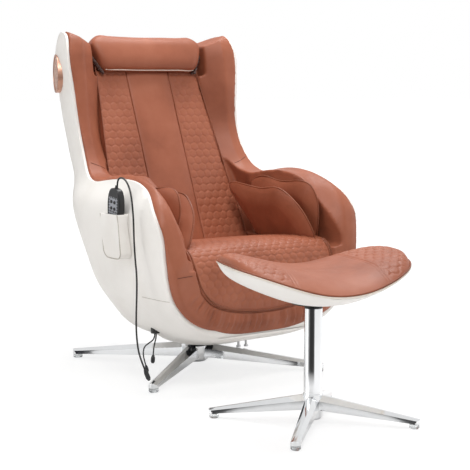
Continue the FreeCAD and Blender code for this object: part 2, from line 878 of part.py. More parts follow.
def lead_routes():
    """Two short free leads that hang from the gland."""
    x, y = lead_exit
    z = lead_exit_z - 9
    one = [
        (x - 4, y - 3, z), (x - 5, y - 4, z - 11), (x - 14, y - 6, z - 20), (x - 30, y - 8, z - 26),
        (x - 45, y - 11, z - 33), (x - 51, y - 14, z - 49), (x - 50, y - 17, z - 67),
        (x - 46, y - 20, z - 84),
    ]
    two = [
        (x + 5, y + 3, z), (x + 5, y + 3, z - 10), (x + 1, y + 1, z - 21), (x - 5, y - 2, z - 32),
        (x - 9, y - 4, z - 46), (x - 11, y - 5, z - 61),
    ]
    return one, two


def speaker_place(shape):
    """Puts a disc drawn about +X on the shell's right rear shoulder, and mirrors it for the left."""
    angle = 158.3
    level = [l for l in shell_levels if l[0] * shell_height >= speaker_z][0]
    a = level[1] * shell_half_width
    b = level[3] - level[2]
    n = rear_power
    ca = abs(math.cos(math.radians(angle))) * a
    sa = abs(math.sin(math.radians(angle))) * b
    total = (ca ** (n / (n - 1)) + sa ** (n / (n - 1))) ** (1 / n)
    x = -a * ca ** (1 / (n - 1)) / total
    y = level[2] + b * sa ** (1 / (n - 1)) / total
    out = shape.copy()
    out.rotate(V(0, 0, 0), V(0, 0, 1), angle)
    out.translate(V(x, y, speaker_z))
    return out


def speaker_rings():
    """Copper trim rings, proud of the shell."""
    tube = rod(speaker_radius, (-30, 0, 0), (4.5, 0, 0))
    tube = tube.cut(rod(speaker_radius - speaker_ring, (-40, 0, 0), (20, 0, 0)))
    right = biggest(speaker_place(tube).cut(shell_body(-fit_gap)))
    return Part.makeCompound([right, mirrored(right)])


def speaker_grilles():
    """Cloth-covered grilles inside the rings."""
    disc = rod(speaker_radius - speaker_ring - fit_gap, (-30, 0, 0), (2.5, 0, 0))
    right = biggest(speaker_place(disc).cut(shell_body(-fit_gap)))
    return Part.makeCompound([right, mirrored(right)])


def seat_frame():
    """Welded frame: a foot plate on the shell's floor, four posts and a ring under the seat."""
    floor = shell_floor_z + shell_wall + fit_gap
    under = seat_base_z - fit_gap
    low_ring = under - frame_depth
    frame = box(-100, 100, -150, 8, floor, floor + 6)
    for x, y in bolt_places():
        frame = frame.cut(rod(8 + fit_gap, (x, y, floor - 1), (x, y, floor + 20)))
    for x in (-74, 54):
        for y in (-124, -20):
            frame = frame.fuse(box(x, x + 20, y, y + 20, floor + 6, low_ring))
    outer = box(-218, 218, -280, 92, low_ring, under)
    inner = box(-190, 190, -255, 66, low_ring - 10, under + 10)
    frame = frame.fuse(outer.cut(inner))
    for y in (-124, -20):
        frame = frame.fuse(box(-190, 190, y, y + 20, low_ring, under - 4))
    return biggest(frame.removeSplitter().common(cavity()))


def seat_heater():
    """A flat heating mat on the frame's cross members, under the cushion."""
    top = seat_base_z - fit_gap
    return box(-150, 150, -124, 0, top - 3.7, top)


def control_box():
    """The electronics, hung under the frame's cross members."""
    top = seat_base_z - fit_gap - frame_depth
    body = box(86, 176, -124, 0, top - 40, top)
    return body.makeFillet(5, [e for e in body.Edges if e.BoundBox.ZLength > 39])


def air_pump():
    """Pump drum and valve block on one foot, hung under the frame's cross members."""
    top = seat_base_z - fit_gap - frame_depth
    drum = rod(22, (-164, -44, top - 30), (-112, -44, top - 30))
    valves = box(-112, -84, -70, -18, top - 46, top - 6)
    foot = box(-170, -82, -124, 0, top - 8, top)
    return drum.fuse(valves).fuse(foot).removeSplitter()


def guide_rails():
    rails = []
    for side in (-1, 1):
        x = side * rail_x
        rail = box(x - rail_width / 2, x + rail_width / 2, rail_depth - rail_thick / 2,
                   rail_depth + rail_thick / 2, rail_low, rail_high)
        rails.append(leaned(rail))
    return Part.makeCompound(rails)


def rail_brackets():
    """Cross bars at both ends of the rails, the lower on struts and the upper on the shell."""
    half_span = rail_x + rail_width / 2 + 6
    reach = rail_thick / 2 + 4
    front = rail_depth - reach
    rear = rail_depth + reach
    low = box(-half_span, half_span, front, rear, rail_low - 14, rail_low)
    high = box(-half_span, half_span, front, rear, rail_high, rail_high + 14)
    bore = rod(screw_radius + turn_gap, (0, rail_depth, rail_low - 40), (0, rail_depth, rail_high + 40))
    low = leaned(low.cut(bore))
    high = leaned(high.cut(bore))
    _, y_front, z_front = lean_point(0, front, rail_low - 8)
    _, y_rear, z_rear = lean_point(0, rear - 6, rail_low - 8)
    frame_low = seat_base_z - fit_gap - frame_depth
    for x in (-90, 78):
        strut = Part.Face(polygon([(x, 92, frame_low), (x, 104, frame_low), (x, y_rear, z_rear),
                                   (x, y_front, z_front), (x, 92, frame_low + 18)]))
        low = low.fuse(strut.extrude(V(12, 0, 0)).common(cavity()))
    top = lean_point(0, rail_depth, rail_high + 7)
    for x in (-60, 60):
        arm = box(x - 8, x + 8, top[1] - 4, top[1] + 200, top[2] - 8, top[2] + 8)
        arm = biggest(arm.common(cavity()))
        high = high.fuse(arm)
    return Part.makeCompound([biggest(low.removeSplitter()), biggest(high.removeSplitter())])


def lead_screw():
    screw = rod(screw_radius, (0, rail_depth, rail_low - 14), (0, rail_depth, rail_high + 12))
    groove_start = rail_low + 4
    pitch = 12.0
    turns = int((rail_high - 4 - groove_start) / pitch)
    for k in range(turns):
        s = groove_start + k * pitch
        ring = Part.makeTorus(screw_radius + 0.6, 1.4, V(0, rail_depth, s), V(0, 0, 1))
        screw = screw.cut(ring)
    return leaned(screw)


def screw_motor():
    motor = rod(20, (0, rail_depth, rail_low - 14.3), (0, rail_depth, rail_low - 66))
    return leaned(motor)


def head_places():
    return [(sx * head_spread_x, carriage_centre + ss * head_spread_s)
            for ss in (1, -1) for sx in (-1, 1)]


head_depth = back_thick + 1.0 + head_radius


def carriage():
    """A plate on the rails with shoes, a nut for the screw and arms that carry the heads."""
    front = rail_depth - rail_thick / 2 - 9
    low = carriage_centre - carriage_half_height
    high = carriage_centre + carriage_half_height
    plate = box(-carriage_half_width, carriage_half_width, front, front + 6, low, high)
    window = box(-28, 28, front - 1, front + 8, carriage_centre - 58, carriage_centre + 58)
    body = plate.cut(window)
    for side in (-1, 1):
        x = side * rail_x
        for s in (low + 26, high - 26):
            shoe = box(x - 16, x + 16, front, rail_depth + rail_thick / 2 + 7, s - 24, s + 24)
            slot = box(x - rail_width / 2 - fit_gap, x + rail_width / 2 + fit_gap,
                       rail_depth - rail_thick / 2 - fit_gap, rail_depth + rail_thick / 2 + fit_gap,
                       s - 30, s + 30)
            body = body.fuse(shoe.cut(slot))
    nut = box(-14, 14, front + 6, rail_depth + 14, low + 4, low + 34)
    nut = nut.cut(rod(screw_radius + fit_gap, (0, rail_depth, low), (0, rail_depth, low + 40)))
    body = body.fuse(nut)
    for x, s in head_places():
        inner = x - math.copysign(head_width / 2 + 5.4, x)
        arm = box(inner - 4, inner + 4, head_depth - 10, front, s - 12, s + 12)
        pin = rod(pin_radius, (inner, head_depth, s), (x + math.copysign(head_width / 2 + 3, x), head_depth, s))
        cap = rod(9, (x + math.copysign(head_width / 2 + fit_gap * 2, x), head_depth, s),
                  (x + math.copysign(head_width / 2 + 4, x), head_depth, s))
        body = body.fuse(arm).fuse(pin).fuse(cap)
    for side in (-1, 1):
        x = side * 36
        cheek = box(x - 3, x + 3, head_depth - 12, front, carriage_centre - 16, carriage_centre + 16)
        cheek = cheek.cut(rod(6 + turn_gap, (x - 5, head_depth + 4, carriage_centre),
                              (x + 5, head_depth + 4, carriage_centre)))
        body = body.fuse(cheek)
    return leaned(body.removeSplitter())


def knead_shaft():
    """The kneading shaft with an eccentric wheel at each end."""
    depth = head_depth + 4
    shaft = rod(6, (-60, depth, carriage_centre), (60, depth, carriage_centre))
    for side in (-1, 1):
        wheel = rod(22, (side * 41, depth + 4, carriage_centre), (side * 52, depth + 4, carriage_centre))
        shaft = shaft.fuse(wheel)
    worm = rod(16, (-12, depth, carriage_centre), (12, depth, carriage_centre))
    return leaned(shaft.fuse(worm).removeSplitter())


def knead_motor():
    front = rail_depth - rail_thick / 2 - 3
    centre = carriage_centre + carriage_half_height - 34
    block = box(-46, 46, front + fit_gap, front + 20, centre - 4, centre + 30)
    block = block.cut(rod(screw_radius + 6, (0, rail_depth, centre - 40), (0, rail_depth, centre + 40)))
    drum = rod(21, (20, rail_depth + 26, centre - 20), (20, rail_depth + 26, centre + 34))
    drum = drum.cut(rod(screw_radius + 4, (0, rail_depth, centre - 40), (0, rail_depth, centre + 40)))
    return leaned(block.fuse(drum).removeSplitter())


def massage_head(place):
    """A kneading head: a rubber ball wheel on its pin."""
    x, s = place
    half = head_width / 2
    r = head_radius
    a = (x - half, head_depth, s)
    wheel = rod(r, a, (x + half, head_depth, s))
    rims = [e for e in wheel.Edges if e.BoundBox.XLength < 0.01]
    wheel = wheel.makeFillet(half * 0.8, rims)
    wheel = wheel.cut(rod(pin_radius + turn_gap, (x - 30, head_depth, s), (x + 30, head_depth, s)))
    return leaned(wheel)


def stool_rise(x):
    """How much higher the saddle's rim is at x than in the middle."""
    return stool_tip_rise * (x / stool_half_length) ** 2


def stool_sections(build):
    """Lofts the outlines that build gives along the footstool's length."""
    wires = []
    for share in (-0.995, -0.97, -0.9, -0.75, -0.5, -0.2, 0.2, 0.5, 0.75, 0.9, 0.97, 0.995):
        x = share * stool_half_length
        half_depth = stool_half_depth * (1 - abs(share) ** 2.6) ** (1 / 2.6)
        wires.append(build(x, half_depth))
    return Part.makeLoft(wires, True, False)


def stool_cushion():
    def build(x, half_depth):
        z = stool_rim_z + stool_rise(x)
        fade = half_depth / stool_half_depth
        crown = stool_crown * fade ** 0.6
        top = []
        for k in range(9):
            t = -1 + k / 4
            top.append((x, t * half_depth, z + 4 + stool_tilt * t * half_depth
                        + crown * (1 - abs(t) ** 3.6)))
        start = (x, -half_depth, z - stool_tilt * half_depth)
        end = (x, half_depth, z + stool_tilt * half_depth)
        return Part.Wire([line(end, start), line(start, top[0]), spline_edge(top), line(top[-1], end)])
    return stool_place(stool_sections(build))


def stool_shell():
    def build(x, half_depth):
        z = stool_rim_z + stool_rise(x) - fit_gap
        fade = half_depth / stool_half_depth
        belly = stool_belly * fade ** 0.8
        low = []
        for k in range(9):
            t = -1 + k / 4
            low.append((x, t * half_depth, z - 3 + stool_tilt * t * half_depth
                        - belly * (1 - abs(t) ** 2.2)))
        start = (x, -half_depth, z - stool_tilt * half_depth)
        end = (x, half_depth, z + stool_tilt * half_depth)
        return Part.Wire([line(end, start), line(start, low[0]), spline_edge(low), line(low[-1], end)])
    body = stool_sections(build)
    flat = rod(stool_plate_radius + 1, (0, 0, 0), (0, 0, stool_plate_top()))
    return stool_place(body.cut(flat))


def stool_plate_top():
    return stool_rim_z - fit_gap - 3 - stool_belly + 3


def stool_place(shape):
    out = shape.copy()
    out.translate(V(stool_x, stool_y, 0))
    return out


def stool_hub():
    r = stool_hub_radius
    outline = [(0, 0, 12), (r - 6, 0, 12), (r, 0, 18), (r, 0, stool_hub_top_z - 4),
               (r - 2, 0, stool_hub_top_z), (0, 0, stool_hub_top_z)]
    return stool_place(Part.Face(polygon(outline)).revolve(V(0, 0, 0), V(0, 0, 1), 360))


def stool_legs():
    leg = star_leg(stool_reach, stool_hub_radius, 38, 25, 38, 12, stool_hub_top_z - 4, 24)
    return stool_place(star(stool_reach, stool_turn, leg))


def stool_glides():
    return stool_place(glides(stool_reach, stool_turn, 12, 12.5))


def stool_column():
    """The chrome tube, closed at its top by the collar's seat."""
    tube = rod(stool_column_radius, (0, 0, stool_hub_top_z), (0, 0, stool_column_top_z))
    bore = rod(stool_neck_radius + turn_gap, (0, 0, stool_column_top_z - 90), (0, 0, 400))
    return stool_place(tube.cut(bore))


def stool_collar():
    """Black ring between the tube and the neck."""
    ring = rod(stool_column_radius, (0, 0, stool_column_top_z), (0, 0, stool_column_top_z + 7))
    ring = ring.makeFillet(1.5, [e for e in ring.Edges if e.BoundBox.ZMin > stool_column_top_z + 6])
    return stool_place(ring.cut(rod(stool_neck_radius + turn_gap, (0, 0, 0), (0, 0, 400))))


def stool_neck():
    return stool_place(rod(stool_neck_radius, (0, 0, stool_column_top_z - 80),
                           (0, 0, stool_plate_top() - 4)))


def stool_plate():
    top = stool_plate_top()
    return stool_place(rod(stool_plate_radius, (0, 0, top - 4), (0, 0, top)))


def build_nodes():
    """Every piece of the chair and the footstool, by name."""
    nodes = {}
    nodes["base_hub"] = base_hub()
    nodes["base_legs"] = base_legs()
    nodes["base_glides"] = glides(base_reach, base_turn, leg_tip_top_z - leg_tip_depth, glide_radius)
    nodes["swivel_spindle"] = swivel_spindle()
    nodes["swivel_plate"] = swivel_plate().cut(bolt_holes())
    nodes["plate_bolts"] = plate_bolts()
    nodes["stop_pins"] = stop_pins()
    nodes["outer_shell"] = biggest(outer_shell())
    bolsters = bolster_body()
    nodes["bolster_right"] = half(bolsters, -1)
    nodes["bolster_left"] = half(bolsters, 1)
    nodes["front_apron"] = biggest(front_apron())
    nodes["seat_cushion"] = seat_solid()
    nodes["back_cushion"] = biggest(back_cushion())
    nodes["back_centre_panel"] = back_centre_panel()
    nodes["head_pillow"] = head_pillow()
    nodes["top_cover"] = top_cover()
    outer_pad = outer_airbag_pad()
    nodes["outer_pads"] = Part.makeCompound([outer_pad, mirrored(outer_pad)])
    nodes["inner_pad_right"] = airbag_pad(inner_pad_x, inner_pad_edge, -1, True)
    nodes["inner_pad_left"] = airbag_pad(inner_pad_x, inner_pad_edge, 1, True)
    nodes["speaker_rings"] = speaker_rings()
    nodes["speaker_grilles"] = speaker_grilles()
    nodes["handset_pocket"] = handset_pocket()
    nodes["handset_body"] = handset_place(handset_body())
    nodes["handset_face"] = handset_place(handset_face())
    for k, place in enumerate(button_places()):
        nodes["handset_button_%d" % (k + 1)] = handset_place(handset_button(place))
    nodes["handset_strain_relief"] = handset_place(strain_relief())
    route = handset_route()
    nodes["handset_cord"] = cord("handset_cord", route, cord_diameter)
    nodes["handset_plug"] = plug_on(route, 34, 6.5, 3.4)
    nodes["lead_gland"] = lead_gland()
    one, two = lead_routes()
    nodes["lead_long"] = cord("lead_long", one, lead_diameter)
    nodes["lead_long_plug"] = plug_on(one, 20, 4.5, 2.6)
    nodes["lead_short"] = cord("lead_short", two, lead_diameter)
    nodes["lead_short_plug"] = plug_on(two, 24, 6.0, 3.0)
    nodes["seat_frame"] = seat_frame()
    nodes["seat_heater"] = seat_heater()
    nodes["control_box"] = control_box()
    nodes["air_pump"] = air_pump()
    nodes["guide_rails"] = guide_rails()
    nodes["rail_brackets"] = rail_brackets()
    nodes["lead_screw"] = lead_screw()
    nodes["screw_motor"] = screw_motor()
    nodes["carriage"] = carriage()
    nodes["knead_motor"] = knead_motor()
    nodes["knead_shaft"] = knead_shaft()
    for k, place in enumerate(head_places()):
        nodes["massage_head_%d" % (k + 1)] = massage_head(place)
    nodes["stool_hub"] = stool_hub()
    nodes["stool_legs"] = stool_legs()
    nodes["stool_glides"] = stool_glides()
    nodes["stool_column"] = stool_column()
    nodes["stool_collar"] = stool_collar()
    nodes["stool_neck"] = stool_neck()
    nodes["stool_plate"] = stool_plate()
    nodes["stool_shell"] = stool_shell()
    nodes["stool_cushion"] = stool_cushion()
    return nodes


loose_nodes = ["handset_cord", "handset_plug", "lead_long", "lead_long_plug", "lead_short",
               "lead_short_plug"]


def main():
    nodes = build_nodes()
    bounds = FreeCAD.BoundBox()
    for name, shape in nodes.items():
        if name not in loose_nodes:
            bounds.add(shape.BoundBox)
    shift = V(-(bounds.XMin + bounds.XMax) / 2, -(bounds.YMin + bounds.YMax) / 2, 0)
    os.makedirs("parts", exist_ok=True)
    for name, shape in nodes.items():
        moved = shape.copy()
        moved.translate(shift)
        moved.exportStep("parts/%s.step" % name)
    print("handset lean %.3f degrees" % handset_side_lean())
    print("shift %.3f %.3f" % (shift.x, shift.y), "nodes", len(nodes))


main()
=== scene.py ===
"""Massage chair with its footstool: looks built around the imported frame. Metres, +Z up."""
import json
import math

import bmesh
import bpy
import numpy as np
from mathutils import Euler, Matrix, Vector
from mathutils.bvhtree import BVHTree


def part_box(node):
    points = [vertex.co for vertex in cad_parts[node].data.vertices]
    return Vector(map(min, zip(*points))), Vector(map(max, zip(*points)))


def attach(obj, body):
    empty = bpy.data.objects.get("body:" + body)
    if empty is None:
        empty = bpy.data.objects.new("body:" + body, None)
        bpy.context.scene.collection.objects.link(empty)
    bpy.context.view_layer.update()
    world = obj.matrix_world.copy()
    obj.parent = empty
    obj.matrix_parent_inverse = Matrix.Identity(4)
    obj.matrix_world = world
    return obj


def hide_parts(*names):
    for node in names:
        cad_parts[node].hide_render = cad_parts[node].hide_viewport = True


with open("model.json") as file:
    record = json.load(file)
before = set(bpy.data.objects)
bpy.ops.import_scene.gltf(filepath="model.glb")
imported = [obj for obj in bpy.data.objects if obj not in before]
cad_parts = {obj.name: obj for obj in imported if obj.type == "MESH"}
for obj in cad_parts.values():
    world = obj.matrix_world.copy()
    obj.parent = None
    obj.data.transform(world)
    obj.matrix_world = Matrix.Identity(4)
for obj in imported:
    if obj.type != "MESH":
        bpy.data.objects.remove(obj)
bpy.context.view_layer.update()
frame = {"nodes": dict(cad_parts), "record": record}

mm = 0.001
weld_distance = 2e-5

# Rays that find a surface start clear of the chair, at this Y or X in millimetres from its axis
ahead_y = -600
rearwards = (0, 1, 0)
beside_x = -600
leftwards = (1, 0, 0)


def middle(node):
    low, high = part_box(node)
    return (low + high) / 2


# The chair's swivel axis on the floor, from which places are measured as in the part's source
axis = middle("swivel_spindle")
axis.z = 0.0

# Back, which leans about the line where it meets the seat
back_foot_y = 60 * mm
back_foot_z = 380 * mm
back_lean = math.radians(21.3)
back_top_rise = 18 * mm
centre_half_width = 78 * mm

# Seat, whose top and border follow the photograph rather than the solid; the border as X and Z
seat_half_width = 246 * mm
seat_top_z = 385 * mm
seat_lift = 21 * mm
half_border = [(0, 214), (80, 218), (145, 231), (195, 253), (231, 290), (247, 335), (251, 372), (249, 400)]
seat_border = half_border[:0:-1] + [(-x, z) for x, z in half_border]

# Head pillow, along the lean of the back
pillow_foot = 534 * mm
pillow_height = 120 * mm

# Airbag pads, as in the part's source; their edges as Y and Z
pad_lean = math.radians(16)
pad_foot_z = seat_top_z + 10 * mm
pad_height = 165 * mm
pad_foot_height = 100 * mm
pad_thin_border = 55 * mm
inner_pad_x = 224 * mm
outer_pad_x = 261.9 * mm
inner_pad_edge = [(-16, 395), (4, 435), (40, 486), (66, 524), (64, 548), (40, 556), (-20, 550),
                  (-86, 544), (-140, 549), (-172, 550), (-208, 538), (-264, 492), (-296, 430),
                  (-298, 395)]
outer_pad_edge = [(-10, 395), (8, 450), (26, 520), (20, 556), (-24, 576), (-62, 578), (-120, 567),
                  (-180, 570), (-226, 573), (-270, 560), (-290, 512), (-280, 450), (-262, 395)]
# How far each pad's foot has crept outwards and its top inwards
pad_settling = {"inner_right": (14 * mm, 18 * mm), "inner_left": (0.0, 0.0),
                "outer_right": (0.0, -30 * mm), "outer_left": (0.0, -16 * mm)}

# Handset and its pocket, as in the part's source
pocket_side_y = (-203, -113)
pocket_top_z = 498
pocket_foot_z = 373
handset_foot = axis + Vector((-373.4, -150.3, 393)) * mm
handset_tip = math.radians(8)
handset_lean = math.radians(-2.526)

# The arms: their rim in side view, along which the padding bulges, and how deep each falls away inside
arm_rim = [(-365, 350), (-350, 422), (-328, 482), (-286, 532), (-226, 567), (-152, 585), (-76, 586),
           (0, 577)]
right_arm_fall = 50 * mm
left_arm_fall = 24 * mm
arm_top_z = 592 * mm
arm_inner_slope = 0.3

# The shell's front edge beside the seat: heights, and how far forward it reaches at each
shell_rim_z = [0.17, 0.44, 0.466, 0.481, 0.497]
shell_rim_y = [-0.343, -0.342, -0.336, -0.328, -0.317]
shell_rim_top = (0.475, 0.500)

# Footstool: the solid's rim, and how the photograph's is turned, shorter and level at its ends
stool_centre = axis + Vector((-170, -760, 0)) * mm
stool_half_length = 244 * mm
stool_half_depth = 190 * mm
stool_roundness = 2.6
stool_rim_z = 354 * mm
stool_tilt = 0.035
stool_tip_rise = 71 * mm
stool_yaw = math.radians(15)
stool_soft_rise = 58 * mm
stool_soft_length = 0.97
stool_seam_x = 120 * mm
stool_seam_slant = 0.06
stool_seam_gap = 7 * mm

# Studio
floor_glow = 1.16
floor_share = 0.62
room_light = 0.46
black = (0.0, 0.0, 0.0)
white = (1.0, 1.0, 1.0)

# Quilting
cell_width = 26.5 * mm
groove_depth = 1.8 * mm
back_groove_depth = 1.3 * mm
groove_width = 2.4 * mm
gather_depth = 1.7 * mm


def lean_point(x, depth, along):
    """The place of a point of the leaned back: depth runs rearwards, along runs up."""
    y = back_foot_y + depth * math.cos(back_lean) + along * math.sin(back_lean)
    z = back_foot_z - depth * math.sin(back_lean) + along * math.cos(back_lean)
    return axis + Vector((x, y, z))


def lean_coordinates(points):
    """Each point's depth and along, as lean_point has them."""
    y = points[:, 1] - axis.y - back_foot_y
    z = points[:, 2] - back_foot_z
    depth = y * math.cos(back_lean) - z * math.sin(back_lean)
    along = y * math.sin(back_lean) + z * math.cos(back_lean)
    return depth, along


# Materials

def shader(name):
    """A new material and the tools to wire it."""
    material = bpy.data.materials.new(name)
    material.use_nodes = True
    nodes = material.node_tree.nodes
    surface = nodes["Principled BSDF"]
    return material, nodes, material.node_tree.links, surface


def texture_place(nodes):
    return nodes.new("ShaderNodeTexCoord").outputs["Object"]


def noise(nodes, links, place, scale, detail=3.0, roughness=0.5):
    node = nodes.new("ShaderNodeTexNoise")
    node.inputs["Scale"].default_value = scale
    node.inputs["Detail"].default_value = detail
    node.inputs["Roughness"].default_value = roughness
    links.new(place, node.inputs["Vector"])
    return node.outputs["Fac"]


def ramp(nodes, links, source, stops):
    """Colours a value by stops, each a place from 0 to 1 and a colour."""
    node = nodes.new("ShaderNodeValToRGB")
    while len(node.color_ramp.elements) < len(stops):
        node.color_ramp.elements.new(0.5)
    for element, (place, colour) in zip(node.color_ramp.elements, stops):
        element.position = place
        element.color = (*colour, 1.0)
    links.new(source, node.inputs["Fac"])
    return node.outputs["Color"]


def spread(nodes, links, source, low, high, start=0.0, end=1.0, smooth=False):
    """Turns a value from start to end into one between low and high."""
    node = nodes.new("ShaderNodeMapRange")
    if smooth:
        node.interpolation_type = "SMOOTHSTEP"
    for socket, value in (("From Min", start), ("From Max", end), ("To Min", low), ("To Max", high)):
        node.inputs[socket].default_value = value
    links.new(source, node.inputs["Value"])
    return node.outputs["Result"]


def calculate(nodes, links, operation, *values):
    """A math node fed with numbers and other nodes' outputs."""
    node = nodes.new("ShaderNodeMath")
    node.operation = operation
    for socket, value in zip(node.inputs, values):
        if isinstance(value, (int, float)):
            socket.default_value = value
        else:
            links.new(value, socket)
    return node.outputs["Value"]


def mixed(nodes, links, share, first, second, blend="MIX"):
    """Mixes two colours, each a tuple or another node's output."""
    node = nodes.new("ShaderNodeMix")
    node.data_type = "RGBA"
    node.blend_type = blend
    links.new(share, node.inputs["Factor"])
    for socket, colour in (("A", first), ("B", second)):
        if isinstance(colour, tuple):
            node.inputs[socket].default_value = (*colour, 1.0)
        else:
            links.new(colour, node.inputs[socket])
    return node.outputs["Result"]


def length_of(nodes, links, vector):
    node = nodes.new("ShaderNodeVectorMath")
    node.operation = "LENGTH"
    links.new(vector, node.inputs[0])
    return node.outputs["Value"]


def bearing(nodes, links, vector):
    """The direction of a vector seen from above, as 0 to 1 round the circle."""
    node = nodes.new("ShaderNodeTexGradient")
    node.gradient_type = "RADIAL"
    links.new(vector, node.inputs["Vector"])
    return node.outputs["Fac"]


def bump(nodes, links, surface, heights):
    """Adds bumps in turn: each height has its source, its distance and its strength."""
    before = None
    for source, distance, strength in heights:
        node = nodes.new("ShaderNodeBump")
        node.inputs["Distance"].default_value = distance
        node.inputs["Strength"].default_value = strength
        links.new(source, node.inputs["Height"])
        if before:
            links.new(before, node.inputs["Normal"])
        before = node.outputs["Normal"]
    links.new(before, surface.inputs["Normal"])


def leather(name, dark, mid, light, gloss, grain=620.0, relief=0.35):
    """Grained leather: pebbled relief, cloudy tone and uneven sheen."""
    material, nodes, links, surface = shader(name)
    place = texture_place(nodes)
    cloud = noise(nodes, links, place, scale=7.0, detail=4.0, roughness=0.6)
    colour = ramp(nodes, links, cloud, [(0.25, dark), (0.5, mid), (0.8, light)])
    links.new(colour, surface.inputs["Base Color"])
    surface.inputs["Specular IOR Level"].default_value = 0.30
    wear = noise(nodes, links, place, scale=38.0)
    links.new(spread(nodes, links, wear, gloss - 0.07, gloss + 0.09), surface.inputs["Roughness"])
    pebble = nodes.new("ShaderNodeTexVoronoi")
    pebble.feature = "SMOOTH_F1"
    pebble.inputs["Scale"].default_value = grain
    links.new(place, pebble.inputs["Vector"])
    folds = noise(nodes, links, place, scale=55.0, detail=5.0, roughness=0.65)
    bump(nodes, links, surface, [(pebble.outputs["Distance"], 0.5 * mm, relief), (folds, 1.2 * mm, 0.22)])
    return material


def metal(name, colour, rough, brushed=0.0):
    """Polished or brushed metal with faint wear."""
    material, nodes, links, surface = shader(name)
    surface.inputs["Metallic"].default_value = 1.0
    place = texture_place(nodes)
    smear = noise(nodes, links, place, scale=22.0, detail=4.0, roughness=0.6)
    tone = ramp(nodes, links, smear, [(0.2, tuple(0.93 * c for c in colour)), (0.8, colour)])
    links.new(tone, surface.inputs["Base Color"])
    links.new(spread(nodes, links, smear, rough * 0.6, rough * 1.5), surface.inputs["Roughness"])
    if brushed:
        scratch = noise(nodes, links, place, scale=900.0, detail=2.0)
        bump(nodes, links, surface, [(scratch, 0.2 * mm, brushed)])
    return material


def plastic(name, colour, rough, grain=1500.0, relief=0.12):
    """Moulded plastic or rubber with a fine spark texture."""
    material, nodes, links, surface = shader(name)
    place = texture_place(nodes)
    tone = noise(nodes, links, place, scale=16.0)
    lighter = tuple(min(1.0, c * 1.16 + 0.004) for c in colour)
    links.new(ramp(nodes, links, tone, [(0.3, colour), (0.8, lighter)]), surface.inputs["Base Color"])
    links.new(spread(nodes, links, tone, rough - 0.06, rough + 0.08), surface.inputs["Roughness"])
    spark = noise(nodes, links, place, scale=grain, detail=2.0)
    bump(nodes, links, surface, [(spark, 0.2 * mm, relief)])
    return material


def clear_plastic():
    """The glides' clear plastic, a little hazy."""
    material, nodes, links, surface = shader("clear glide plastic")
    surface.inputs["Transmission Weight"].default_value = 0.85
    surface.inputs["IOR"].default_value = 1.49
    place = texture_place(nodes)
    haze = noise(nodes, links, place, scale=60.0)
    links.new(ramp(nodes, links, haze, [(0.2, (0.80, 0.83, 0.84)), (0.9, (0.93, 0.94, 0.95))]),
              surface.inputs["Base Color"])
    links.new(spread(nodes, links, haze, 0.08, 0.22), surface.inputs["Roughness"])
    return material


def woven(name, dark, light, threads):
    """A tight knitted cloth from two crossed bands."""
    material, nodes, links, surface = shader(name)
    place = texture_place(nodes)
    heights = []
    for direction in ("Z", "DIAGONAL"):
        wave = nodes.new("ShaderNodeTexWave")
        wave.bands_direction = direction
        wave.inputs["Scale"].default_value = threads
        wave.inputs["Distortion"].default_value = 0.6
        links.new(place, wave.inputs["Vector"])
        heights.append((wave.outputs["Fac"], 0.6 * mm, 0.6))
    tone = noise(nodes, links, place, scale=90.0, detail=4.0)
    links.new(ramp(nodes, links, tone, [(0.3, dark), (0.75, light)]), surface.inputs["Base Color"])
    surface.inputs["Roughness"].default_value = 0.85
    surface.inputs["Sheen Weight"].default_value = 0.3
    bump(nodes, links, surface, heights)
    return material


tan = leather("cognac leather", (0.240, 0.070, 0.034), (0.318, 0.098, 0.050), (0.378, 0.128, 0.070), 0.45)
# Darker cognac for the real piping; the cords along the back's edges also use it, as painted shade
tan_piping = leather("cognac piping", (0.17, 0.047, 0.021), (0.23, 0.066, 0.030), (0.29, 0.088, 0.042),
                     0.42, grain=900.0)
cream = leather("cream leather", (0.79, 0.755, 0.71), (0.84, 0.81, 0.77), (0.87, 0.84, 0.80),
                0.46, grain=700.0, relief=0.22)
cream_piping = leather("cream piping", (0.74, 0.66, 0.57), (0.80, 0.72, 0.63), (0.85, 0.78, 0.70),
                       0.45, grain=900.0, relief=0.2)
seam_thread = leather("dark seam", (0.085, 0.026, 0.014), (0.11, 0.033, 0.018), (0.14, 0.045, 0.025),
                      0.6, grain=900.0)
cream_seam = leather("cream seam", (0.42, 0.38, 0.33), (0.48, 0.44, 0.39), (0.54, 0.50, 0.45),
                     0.6, grain=900.0)
strap_cloth = woven("dark strap cloth", (0.045, 0.015, 0.009), (0.095, 0.034, 0.021), 260.0)
chrome = metal("polished chrome", (0.86, 0.87, 0.88), 0.05)
steel = metal("bright steel", (0.60, 0.60, 0.61), 0.28, 0.25)
copper = metal("copper trim", (0.60, 0.34, 0.25), 0.38, 0.1)
black_paint = plastic("satin black paint", (0.012, 0.012, 0.013), 0.38, 700.0)
frame_paint = plastic("frame powder coat", (0.045, 0.045, 0.048), 0.55, 900.0, 0.3)
black_plastic = plastic("black plastic", (0.010, 0.010, 0.011), 0.36)
rubber = plastic("black rubber", (0.014, 0.013, 0.013), 0.52, 1100.0, 0.2)
silver = plastic("silver lacquer", (0.30, 0.31, 0.33), 0.30)
grille = woven("peach grille cloth", (0.62, 0.37, 0.28), (0.74, 0.48, 0.38), 300.0)
felt = woven("grey felt", (0.05, 0.05, 0.052), (0.09, 0.09, 0.095), 200.0)
clear = clear_plastic()

slot_materials = {
    "tan_leather": tan, "cream_leather": cream, "chrome": chrome, "black_paint": black_paint,
    "clear_plastic": clear, "black_plastic": black_plastic, "silver_plastic": silver,
    "black_rubber": rubber, "copper_trim": copper, "grille_cloth": grille, "frame_steel": frame_paint,
    "bright_steel": steel, "heater_felt": felt, "head_rubber": rubber,
}


